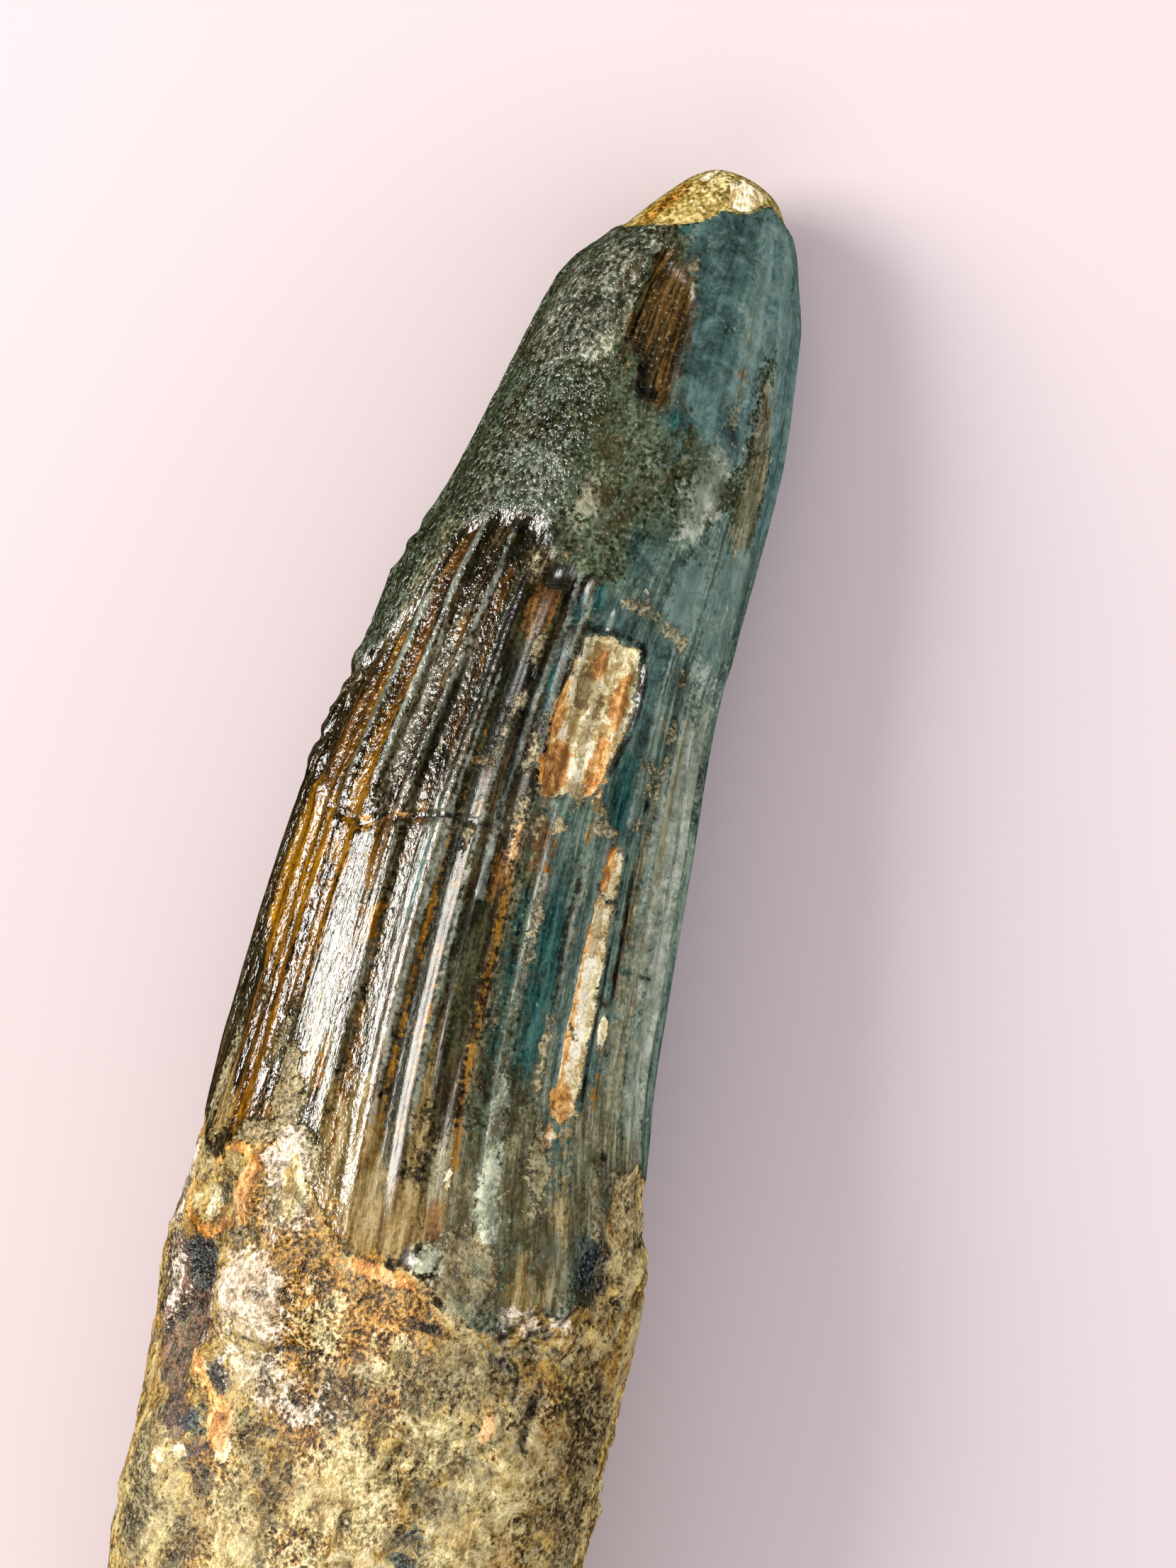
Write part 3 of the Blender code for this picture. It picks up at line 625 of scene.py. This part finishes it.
# The worn tip, the keels down both sides, the lumps, and the end of the crown on the root
relief -= TIP_DEPTH * ramp(tip, -0.15, 0.35)
keel = ramp(path, 5.0, 9.0) * (1.0 - ramp(path, 57.0, 63.0))
for side in (-90.0, 90.0):
    relief += KEEL_HEIGHT * keel * np.exp(-(round_width(angle - side) / KEEL_WIDTH) ** 2)
for distance, at_angle, half_length, half_width, height in LUMPS:
    reach = ((path - distance) / half_length) ** 2 + ((width - round_width(at_angle)) / half_width) ** 2
    relief += height * np.exp(-reach)
relief -= CROWN_STEP * ramp(root, -0.6, 0.8)

# Hollows where the enamel broke away, with torn floors
for hollow, edge, depth, torn, seed in ((window, 0.3, WINDOW_DEPTH, 0.12, 33),
                                        (strip, 0.3, STRIP_DEPTH, 0.1, 35),
                                        (patch, 0.7, PATCH_DEPTH, 0.1, 37)):
    relief -= ramp(hollow, -0.05, edge) * (depth - torn * layered(streaked, 1.0, seed))

# Cracks across the crown
crack = any_of(on_line(0.16, (41.9, -2), (42.0, 6), (41.9, 12), (42.1, 17), (42.4, 23), (42.9, 27)),
               on_line(0.16, (43.1, 56), (43.4, 50), (43.5, 44), (43.8, 40), (43.3, 36), (42.6, 33)),
               on_line(0.14, (43.8, -35.5), (44.0, -38), (44.6, -42)))
relief -= CRACK_DEPTH * ramp(crack, -0.12, 0.1)

# Rough bone of the root: waves, rounded lumps with creases between them, and pits
bone_wave = 0.28 * np.sin(3.0 * turn + 0.11 * path + 0.6) + 0.2 * np.sin(7.0 * turn - 0.3 * path)
relief += ramp(root, 0.0, 5.0) * bone_wave * (1.0 - face)
lumpy = np.zeros(len(path))
for i in range(4):
    bent = plain + 0.4 * rough(plain, 1.1, 47 + i)[:, None]
    lumpy += np.abs(rough(bent, LUMP_SIZE / 2 ** i, 41 + i)) / 1.7 ** i
broken = ramp(root, 0.0, 1.2) * (0.55 + 0.45 * rough(plain, 5.0, 49))
relief += broken * BONE_LUMP_HEIGHT * (lumpy - 0.7)
pits = ramp(root, 0.3, 1.5) * ramp(layered(plain, 1.6, 43), 0.42, 0.75)
relief -= PIT_DEPTH * pits
relief += ramp(root, 0.0, 1.0) * BONE_GRAIN_HEIGHT * rough(plain, 0.5, 45)

# Grains of sand above the flutes and on the left side, and a row of beads down the left edge
granular = ramp(-fluted, -0.2, 0.4) * (1.0 - ramp(root, -0.5, 0.2)) * (1.0 - ramp(tip, -0.3, 0.2))
left_side = ramp(angle, -12.0, 25.0) * ramp(150.0 - angle, 0.0, 30.0)
grain_height = 0.015 + 0.015 * left_side
relief += granular * grain_height * (rough(plain, 0.5, 51) + 0.6 * rough(plain, 0.33, 53))
relief += in_flutes * 0.02 * left_side * rough(skin * (0.6, 1, 1), 0.5, 55)
beads = ramp(angle, 62.0, 70.0) * (1.0 - ramp(angle, 100.0, 110.0))
beads = beads * ramp(path, 24.0, 27.0) * (1.0 - ramp(path, 42.0, 44.0))
relief += beads * (0.12 + 0.2 * rough(plain, 0.8, 61) + 0.1 * rough(plain, 0.45, 63))

# The uneven broken face at the end of the root
relief -= face * BREAK_DEPTH * (0.45 + 0.3 * layered(plain, 4.0, 71, 5))
relief -= face * 0.15 * rough(plain, 0.9, 73)

points = plain + normal * (relief * ramp(path, 0.0, 2.0))[:, None]
points[:, 2] = np.maximum(points[:, 2], 0.0)
tooth.data.vertices.foreach_set("co", (points * MM).ravel())

# Each stain, crust and bare patch, and the painted highlight, sheen and shadow, as its depth in mm, from
# its spots, lines and outlines
depths = {}
for table, depth_of in ((SPOTS, in_spot), (LINES, on_line), (PATCHES, in_outline)):
    for name, places in table.items():
        depths.setdefault(name, []).extend(depth_of(*place) for place in places)
near_end = 1.0 - np.abs(root + 0.8)
depths["slate"].append(-angle / 5.0 - 23.0)
depths["bone"] += [window - 0.1, strip - 0.05]
depths["fawn"].append(np.minimum(near_end, 2.5 - np.abs(width - 3.6)))
depths["crust"].append(np.minimum(near_end - 0.2, 2.4 - np.abs(width - 8.6)))
fields = {name: any_of(*parts) for name, parts in depths.items()}
fields["slate"] = fields["slate"] - 9.0 * ramp(root, -0.6, 0.4)
fields["sage"] = np.minimum(fields["slate"], in_outline(*LOWER_SLATE))
fields["umber"] = patch
fields["tip"] = tip
fields["flute_floor"] = np.minimum(fluted, width + 2.2)
fields["root"] = root + 0.3

# How hollow and how wet the skin is, from 0 to 1; where it is hollow the colour gets painted shade
groove = in_flutes * ramp(to_ridge, 0.35, 0.95) * ramp(width, -6.0, 2.0) * ramp(end - path, 3.0, 9.0)
fields["hollow"] = any_of(broken * (1.0 - ramp(lumpy, 0.3, 0.8)), pits, 0.42 * groove)
wet_side = ramp(angle, 4.0, 28.0) * (1.0 - ramp(angle, 120.0, 160.0))
fields["wet"] = wet_side * (1.0 - 0.6 * ramp(root, 6.0, 14.0))
for name, field in fields.items():
    layer = tooth.data.attributes.new(name, "FLOAT", "POINT")
    layer.data.foreach_set("value", np.clip(field, -2.0, 2.0).astype(np.float32))
layer = tooth.data.attributes.new("skin", "FLOAT_VECTOR", "POINT")
layer.data.foreach_set("vector", skin.astype(np.float32).ravel())

bpy.ops.object.mode_set(mode="EDIT")
bpy.ops.mesh.select_all(action="SELECT")
bpy.ops.mesh.remove_doubles(threshold=1e-7)
bpy.ops.mesh.normals_make_consistent(inside=False)
bpy.ops.object.mode_set(mode="OBJECT")
bpy.ops.object.shade_smooth()


def linear(hex_colour):
    """An sRGB hex colour as linear red, green, blue and alpha."""
    parts = [int(hex_colour[i:i + 2], 16) / 255 for i in (1, 3, 5)]
    return tuple(p / 12.92 if p <= 0.04045 else ((p + 0.055) / 1.055) ** 2.4 for p in parts) + (1.0,)


def add_node(tree, kind, inputs, output=0, **settings):
    """Adds a node with its settings, and values or other outputs in its sockets, and gives one output."""
    node = tree.nodes.new("ShaderNode" + kind)
    for name, value in settings.items():
        setattr(node, name, value)
    for socket, value in inputs.items():
        if isinstance(value, bpy.types.NodeSocket):
            tree.links.new(value, node.inputs[socket])
        else:
            node.inputs[socket].default_value = value
    return node.outputs[output]


# Fossil enamel and bone, tumbled by sand and stained by minerals, with a wet-looking polish that
# breaks into sparks on its grains. Every layer lies over the one before it, and most are stains, but
# three also paint light and shade: a highlight on the ridge crests, a sheen down the right side and a
# shadow at the chip window's top rim. Each gives its field, how ragged and how soft its edge is in mm,
# how strongly it covers, the pattern inside it and its three colours
STAINS = (
    ("haze", 1.0, 0.4, 0.85, "speckle", "#46432f", "#86846c", "#bab8a2"),
    ("silver", 1.2, 0.4, 0.75, "speckle", "#262c1e", "#545c4e", "#949c90"),
    ("dusk", 0.8, 0.3, 0.85, "speckle", "#1b1e12", "#585847", "#aeb09c"),
    ("flute_floor", 0.3, 0.1, 1.0, "streak", "#060300", "#201607", "#463a22"),
    ("pewter", 0.7, 0.3, 0.8, "streak", "#2a2310", "#544e3a", "#898a7c"),
    ("slate", 1.0, 0.4, 0.95, "stone", "#273e3b", "#435d5a", "#637d79"),
    ("sage", 1.0, 0.6, 0.75, "streak", "#0e1a10", "#3e5044", "#74826f"),
    ("deep_slate", 1.0, 0.5, 0.9, "stone", "#0d1b1a", "#29403e", "#4e6764"),
    ("pale_slate", 0.8, 0.4, 0.7, "stone", "#4b635b", "#5d736a", "#768c83"),
    # Pale grey stone, partly a painted sheen along the right side
    ("ash_and_sheen", 1.2, 0.7, 0.85, "stone", "#545d4c", "#808876", "#b4b8a8"),
    ("khaki", 0.8, 0.3, 0.8, "streak", "#342f1a", "#625a3c", "#969070"),
    ("fawn", 0.8, 0.4, 0.85, "streak", "#4e3c1c", "#7c6636", "#a8956a"),
    ("moss", 0.4, 0.2, 0.93, "streak", "#060801", "#1a1b08", "#3c3c24"),
    ("amber", 0.4, 0.15, 0.97, "streak", "#3c1e00", "#6c4600", "#966a0e"),
    ("russet", 0.4, 0.15, 0.82, "streak", "#1c0b00", "#4a2c0a", "#80561e"),
    ("teal", 0.4, 0.2, 0.93, "streak", "#000d0e", "#0c3e3b", "#2c5c58"),
    # Pale ridge lines, partly their own tone and partly a painted highlight
    ("crest_and_highlight", 0.15, 0.1, 0.6, "stone", "#3c4138", "#707a70", "#a8aea4"),
    ("tip", 0.3, 0.12, 1.0, "speckle", "#4a3c12", "#8a7634", "#c6b678"),
    ("root", 0.4, 0.15, 1.0, "bone", "#2e1e04", "#866824", "#cab262"),
    ("gold", 1.3, 0.6, 0.9, "gravel", "#140b02", "#70480f", "#c08a32"),
    ("pale", 1.8, 0.5, 0.72, "bone", "#8c783a", "#cebf82", "#f2e8c0"),
    ("bark", 1.6, 0.6, 0.82, "gravel", "#0e0a04", "#3c3018", "#726646"),
    ("plum", 1.0, 0.2, 0.92, "lumps", "#0b080d", "#44302c", "#765446"),
    ("navy", 1.0, 0.25, 0.95, "gravel", "#020508", "#151e22", "#485452"),
    ("crust", 0.5, 0.15, 0.72, "crumb", "#483a1a", "#857750", "#b0a67e"),
    ("mint", 0.5, 0.15, 0.85, "bone", "#747a64", "#a2a890", "#ccd0ba"),
    ("pink", 1.1, 0.4, 0.85, "bone", "#8e7858", "#ccbca4", "#f0e8dc"),
    ("bone", 0.2, 0.06, 1.0, "torn", "#a88c50", "#d8ce9e", "#f2ecd4"),
    ("taupe", 0.35, 0.08, 0.8, "torn", "#5a4522", "#907a46", "#b8a270"),
    ("honey", 0.35, 0.08, 0.92, "torn", "#8a5414", "#c6842e", "#e6b466"),
    ("umber", 0.6, 0.25, 1.0, "streak", "#080701", "#2a1f08", "#5c4014"),
    ("ochre", 0.3, 0.15, 0.9, "torn", "#965e26", "#cc9044", "#eabc84"),
    # Dark stains, cracks and gaps, and a painted shadow along the chip window's top rim
    ("soot_and_shade", 0.2, 0.1, 0.92, "lumps", "#020303", "#0a0b07", "#1c1c14"),
)
SANDY_ENAMEL = ("speckle", "#0e1507", "#2f3722", "#666d56")
RAGGED_REACH = 7.0              # mm that an edge moves as the ragged pattern goes from 0 to 1
HIDDEN_SHARE = 0.85             # of what lies under a stain
GRAIN = 0.3                     # mm, the sparkling grains, drawn a little coarse so that they show
FOSSIL_IOR = 1.6
DRY_ROUGHNESS, WET_ROUGHNESS = 0.32, 0.12
DRY_BONE_HAZE, WET_BONE_HAZE = 0.28, 0.02

DRAWN_OUT, STREAKED = 0.65, 0.1  # how far lengths are squeezed, which draws a pattern out

# Bump heights in mm
DRY_GRAINS, WET_GRAINS = 0.005, 0.022
WET_SAND = 0.045                # added where the wet skin is sandy
BONE_SHARE = 0.9                # of that, where it is bone or crust
RIPPLES = 0.024
GRAVEL = 0.5
PINHOLES = 0.06

stone = bpy.data.materials.new("stained_fossil_enamel")
stone.use_nodes = True
tree = stone.node_tree
shader = tree.nodes["Principled BSDF"]
place = add_node(tree, "TexCoord", {}, "Object")
on_skin = add_node(tree, "Attribute", {}, "Vector", attribute_name="skin")
in_mm = add_node(tree, "Mapping", {"Vector": place, "Scale": (1 / MM, 1 / MM, 1 / MM)})
drawn_out = add_node(tree, "Mapping", {"Vector": place, "Scale": (DRAWN_OUT / MM, 1 / MM, 1 / MM)})
long_ways = add_node(tree, "Mapping", {"Vector": on_skin, "Scale": (STREAKED, 1.0, 1.0)})

# Random patterns: the space each lies in, its size in mm, detail, roughness and distortion
NOISES = {
    "mottle": (in_mm, 1.8, 5.0, 0.7, 0.9),
    "fine": (in_mm, 0.8, 4.0, 0.65, 0.8),
    "grit": (in_mm, 0.26, 2.0, 0.6, 0.0),
    "holes": (in_mm, 0.36, 2.0, 0.6, 0.0),
    "edges": (in_mm, 1.3, 5.0, 0.75, 0.6),
    "grains": (drawn_out, GRAIN, 2.0, 0.55, 0.0),
    "fine_streak": (long_ways, 0.45, 4.0, 0.72, 0.0),
    "coarse_streak": (long_ways, 1.1, 4.0, 0.62, 0.0),
    "ripples": (long_ways, 0.3, 3.0, 0.6, 0.0),
}
# Patterns made of two others, and the share of the second
BLENDS = {
    "lumps": ("mottle", "fine", 0.45),
    "stone_lumps": ("mottle", "coarse_streak", 0.4),
    "gritty_lumps": ("lumps", "grit", 0.5),
    "creases": ("lumps", "grit", 0.4),
    "speckle": ("lumps", "grit", 0.42),
    "gravel": ("lumps", "grit", 0.55),
    "crumb": ("lumps", "grit", 0.35),
    "bone": ("lumps", "grit", 0.3),
    "torn": ("coarse_streak", "fine", 0.5),
    "streak": ("fine_streak", "gritty_lumps", 0.4),
    "stone": ("stone_lumps", "grit", 0.18),
    "ragged": ("edges", "grit", 0.3),
}
# How far a pattern's dark and light tones lie from its middle one
SPREADS = {"lumps": 0.07, "speckle": 0.09, "gravel": 0.08, "crumb": 0.08, "bone": 0.07, "torn": 0.06,
           "streak": 0.09, "stone": 0.1}

# A Mix node's sockets go by number: 0 is the share, 2 and 3 are values, 6 and 7 are colours, and
# its output 2 is a colour
patterns = {}
for name, (space, size, detail, fineness, swirl) in NOISES.items():
    patterns[name] = add_node(tree, "TexNoise", {"Vector": space, "Scale": 1.0 / size, "Detail": detail,
                                                 "Roughness": fineness, "Distortion": swirl})
for name, (first, second, share) in BLENDS.items():
    patterns[name] = add_node(tree, "Mix", {0: share, 2: patterns[first], 3: patterns[second]})
ragged = add_node(tree, "Math", {0: patterns["ragged"], 1: 0.5}, operation="SUBTRACT")


def three_tones(pattern, dark, middle, light):
    """The dark, middle and light tone of one finish, laid out by a pattern."""
    colour = add_node(tree, "ValToRGB", {"Fac": patterns[pattern]})
    stops = colour.node.color_ramp.elements
    stops[0].position = 0.5 - SPREADS[pattern]
    stops[0].color = linear(dark)
    stops[1].position = 0.5 + SPREADS[pattern]
    stops[1].color = linear(light)
    stops.new(0.5).color = linear(middle)
    return colour


def spots_where(pattern, low, high, cover, area):
    """Soft spots inside an area: none where a pattern is at low, and as strong as cover past high."""
    steps = {"Value": pattern, "From Min": low, "From Max": high, "To Max": cover}
    spots = add_node(tree, "MapRange", steps, interpolation_type="SMOOTHSTEP")
    return add_node(tree, "Math", {0: spots, 1: area}, operation="MULTIPLY")


def without(area, covering, share):
    """An area, less a share of it where something covers it."""
    left = add_node(tree, "Math", {0: covering, 1: -share, 2: 1.0}, operation="MULTIPLY_ADD")
    return add_node(tree, "Math", {0: area, 1: left}, operation="MULTIPLY")


finish = three_tones(*SANDY_ENAMEL)
masks = {}
for name, raggedness, softness, cover, pattern, dark, middle, light in STAINS:
    depth = add_node(tree, "Attribute", {}, "Fac", attribute_name=name)
    reach = RAGGED_REACH * raggedness
    torn = add_node(tree, "Math", {0: ragged, 1: reach, 2: depth}, operation="MULTIPLY_ADD")
    edge = {"Value": torn, "From Min": -softness, "From Max": softness, "To Max": cover}
    masks[name] = add_node(tree, "MapRange", edge, interpolation_type="SMOOTHSTEP")
    tones = three_tones(pattern, dark, middle, light)
    finish = add_node(tree, "Mix", {0: masks[name], 6: finish, 7: tones}, 2, data_type="RGBA")

# Bare bone, and grainy enamel away from the smooth slate and flute floors
bare_bone = masks["root"]
for name in ("gold", "bark", "plum", "navy", "crust", "mint", "pink", "bone", "honey", "ochre", "soot_and_shade"):
    bare_bone = without(bare_bone, masks[name], HIDDEN_SHARE)
smooth = add_node(tree, "Math", {0: masks["slate"], 1: masks["flute_floor"]}, operation="MAXIMUM")
sandy = add_node(tree, "Math", {0: smooth, 1: -HIDDEN_SHARE, 2: 1.0}, operation="MULTIPLY_ADD")
grainy = sandy
for name in ("root", "tip", "umber", "soot_and_shade"):
    grainy = without(grainy, masks[name], 1.0)

# Washes of golden brown, cream and dark brown over the bone, and of dark brown and grey green over
# the grains: size in mm, shift, how strongly it covers, colour and area
WASHES = (
    (4.6, 3.1, 0.5, "#6a440e", bare_bone),
    (3.4, 17.7, 0.45, "#e4daa0", bare_bone),
    (3.0, 41.3, 0.45, "#382a0a", bare_bone),
    (2.2, 67.9, 0.4, "#a07014", bare_bone),
    (2.8, 23.9, 0.8, "#2c210a", grainy),
    (2.6, 91.3, 0.45, "#4a5a48", grainy),
)
marks = []
for size, shift, cover, colour, area in WASHES:
    shifted = add_node(tree, "Mapping", {"Vector": in_mm, "Location": (shift, 0.0, 0.0),
                                         "Scale": (DRAWN_OUT, 1.0, 1.0)})
    clouds = add_node(tree, "TexNoise", {"Vector": shifted, "Scale": 1.0 / size, "Detail": 5.0,
                                         "Roughness": 0.74, "Distortion": 1.3})
    gritty = add_node(tree, "Mix", {0: 0.28, 2: clouds, 3: patterns["grit"]})
    marks.append((spots_where(gritty, 0.47, 0.58, cover, area), colour))

# Painted shade in the hollows, creases and flute grooves, pale flecks and dark pinholes in the sandy
# skin, and painted shade in the troughs between wet grains
hollow = add_node(tree, "Attribute", {}, "Fac", attribute_name="hollow")
wet = add_node(tree, "Attribute", {}, "Fac", attribute_name="wet")
pinholes = spots_where(patterns["holes"], 0.37, 0.28, 0.5, sandy)
grains = add_node(tree, "MapRange", {"Value": patterns["grains"], "From Min": 0.38, "From Max": 0.66},
                  interpolation_type="SMOOTHSTEP")
# Painted shade between the wet grains, darkest where the grain bumps are low
grain_bed = add_node(tree, "Math", {0: grainy, 1: 0.5, 2: 0.25}, operation="MULTIPLY_ADD")
shade_between_grains = add_node(tree, "Math", {0: without(grain_bed, grains, 1.0), 1: wet}, operation="MULTIPLY")
# Painted shade in the hollows of the bone, its pits and the flute grooves
marks.append((spots_where(patterns["creases"], 0.58, 0.46, 0.92, hollow), "#0e0903"))
marks.append((spots_where(patterns["grit"], 0.62, 0.72, 0.3, sandy), "#a8aa94"))
marks.append((pinholes, "#0a0a07"))
marks.append((shade_between_grains, "#070804"))
for mask, colour in marks:
    finish = add_node(tree, "Mix", {0: mask, 6: finish, 7: linear(colour)}, 2, data_type="RGBA")
tree.links.new(finish, shader.inputs["Base Color"])

# Polish: smoother where it is wet, hazier on bone and crust
dull = masks["root"]
for name in ("bone", "crust"):
    dull = add_node(tree, "Math", {0: dull, 1: masks[name]}, operation="MAXIMUM")
sheen = add_node(tree, "MapRange", {"Value": wet, "To Min": DRY_ROUGHNESS, "To Max": WET_ROUGHNESS})
sheen = add_node(tree, "Math", {0: grainy, 1: -0.02, 2: sheen}, operation="MULTIPLY_ADD")
haze = add_node(tree, "MapRange", {"Value": wet, "To Min": DRY_BONE_HAZE, "To Max": WET_BONE_HAZE})
roughness = add_node(tree, "Math", {0: dull, 1: haze, 2: sheen}, operation="MULTIPLY_ADD")
tree.links.new(roughness, shader.inputs["Roughness"])
shader.inputs["IOR"].default_value = FOSSIL_IOR

# Grains as small round bumps, so that each one throws back a spark of the window, and fine ripples
# that are deeper on the band that shines
band = add_node(tree, "Attribute", {}, "Fac", attribute_name="shine")
shine = add_node(tree, "MapRange", {"Value": band, "From Min": -0.25, "From Max": 0.35},
                 interpolation_type="SMOOTHSTEP")
loose = add_node(tree, "Math", {0: dull, 1: BONE_SHARE, 2: grainy}, operation="MULTIPLY_ADD")
loose = add_node(tree, "Math", {0: loose, 1: wet}, operation="MULTIPLY")
amount = add_node(tree, "MapRange", {"Value": wet, "To Min": DRY_GRAINS, "To Max": WET_GRAINS})
amount = add_node(tree, "Math", {0: loose, 1: WET_SAND, 2: amount}, operation="MULTIPLY_ADD")
height = add_node(tree, "Math", {0: grains, 1: without(amount, shine, 0.55)}, operation="MULTIPLY")
swell = add_node(tree, "Math", {0: shine, 1: 2.0, 2: 1.0}, operation="MULTIPLY_ADD")
ripples = add_node(tree, "Math", {0: patterns["ripples"], 1: swell}, operation="MULTIPLY")
height = add_node(tree, "Math", {0: ripples, 1: RIPPLES, 2: height}, operation="MULTIPLY_ADD")
gravel = add_node(tree, "Math", {0: patterns["gravel"], 1: dull}, operation="MULTIPLY")
height = add_node(tree, "Math", {0: gravel, 1: GRAVEL, 2: height}, operation="MULTIPLY_ADD")
height = add_node(tree, "Math", {0: pinholes, 1: -PINHOLES, 2: height}, operation="MULTIPLY_ADD")
raised = add_node(tree, "Bump", {"Height": height, "Strength": 1.0, "Distance": MM})
tree.links.new(raised, shader.inputs["Normal"])
tooth.data.materials.append(stone)
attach(tooth, "root")
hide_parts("tooth")


# Floor. A sheet of pale pinkish paper, matte, under the tooth. Its two tints are soft clouds, and it
# is kept out of the reflections, so that the polish mirrors the window alone.
FLOOR_SIZE = 3.0
CLOUDS_PER_METRE = 6.0
bpy.ops.object.select_all(action="DESELECT")
bpy.ops.mesh.primitive_plane_add(size=FLOOR_SIZE, location=(0.0, 0.0, 0.0))
floor = bpy.context.object
floor.name = "floor"
paper = bpy.data.materials.new("pale_matte_paper")
paper.use_nodes = True
tree = paper.node_tree
shader = tree.nodes["Principled BSDF"]
place = add_node(tree, "TexCoord", {}, "Object")
clouds = add_node(tree, "TexNoise", {"Vector": place, "Scale": CLOUDS_PER_METRE, "Detail": 2.0})
tint = add_node(tree, "Mix", {0: clouds, 6: linear("#b9aaac"), 7: linear("#b6afb4")}, 2, data_type="RGBA")
tree.links.new(tint, shader.inputs["Base Color"])
shader.inputs["Roughness"].default_value = 0.85
shader.inputs["Specular IOR Level"].default_value = 0.2
floor.data.materials.append(paper)
floor.visible_glossy = False


# Light. A soft window to the left of the tooth gives the glints. Three larger soft fills and a pale
# room light the rest without glints, and keep the shadow beside the tooth faint.
LIT_POINT = (0.0, 0.0, 0.01)
ROOM_BRIGHTNESS = 0.68


def add_window(name, place, size, watts, colour, gleams):
    """A soft rectangular light at a place, turned towards the tooth."""
    bpy.ops.object.light_add(type="AREA", location=place)
    window = bpy.context.object
    window.name = name
    window.data.shape = "RECTANGLE"
    window.data.size, window.data.size_y = size
    window.data.energy = watts
    window.data.color = linear(colour)[:3]
    direction = [a - p for a, p in zip(LIT_POINT, place)]
    flat_reach = math.hypot(direction[0], direction[1])
    window.rotation_euler = (math.atan2(flat_reach, -direction[2]), 0.0,
                             math.atan2(-direction[0], direction[1]))
    window.visible_glossy = gleams


add_window("left_window", (0.03, 0.46, 0.3), (0.3, 0.27), 5.6, "#fffbf4", True)
add_window("near_fill", (-0.6, 0.0, 0.34), (0.9, 0.5), 4.0, "#fbf6f4", False)
add_window("far_fill", (0.6, 0.1, 0.3), (0.7, 0.4), 2.0, "#fdf8f6", False)
add_window("right_fill", (-0.05, -0.6, 0.2), (0.8, 0.4), 3.6, "#eef2f6", False)
world = bpy.data.worlds.new("pale_room")
bpy.context.scene.world = world
world.use_nodes = True
world.node_tree.nodes["Background"].inputs["Color"].default_value = linear("#f2ebee")
world.node_tree.nodes["Background"].inputs["Strength"].default_value = ROOM_BRIGHTNESS
world.cycles_visibility.glossy = False
bpy.context.scene.view_settings.view_transform = "Standard"


# Camera. It looks straight down on the tooth, with the tip up and to the right in the picture.
# Its lens is worked out from how much of the tooth the picture takes in.
CAMERA_HEIGHT = 229.0          # mm above the floor
MEASURED_HEIGHT = 9.0          # mm above the floor, where the picture's size is measured
SEEN_LENGTH = 93.73            # mm that the long side of the picture takes in at that height
SENSOR_SIZE = 36.0
camera_x, camera_y = 15.73, -2.94  # mm
up_x, up_y = 0.96855, 0.24882  # the picture's upward direction, along the floor
bpy.ops.object.camera_add(location=(camera_x * MM, camera_y * MM, CAMERA_HEIGHT * MM),
                          rotation=(0.0, 0.0, math.atan2(-up_x, up_y)))
camera = bpy.context.object
camera.data.sensor_width = SENSOR_SIZE
camera.data.lens = SENSOR_SIZE * (CAMERA_HEIGHT - MEASURED_HEIGHT) / SEEN_LENGTH
camera.data.clip_start = 0.01
bpy.context.scene.camera = camera
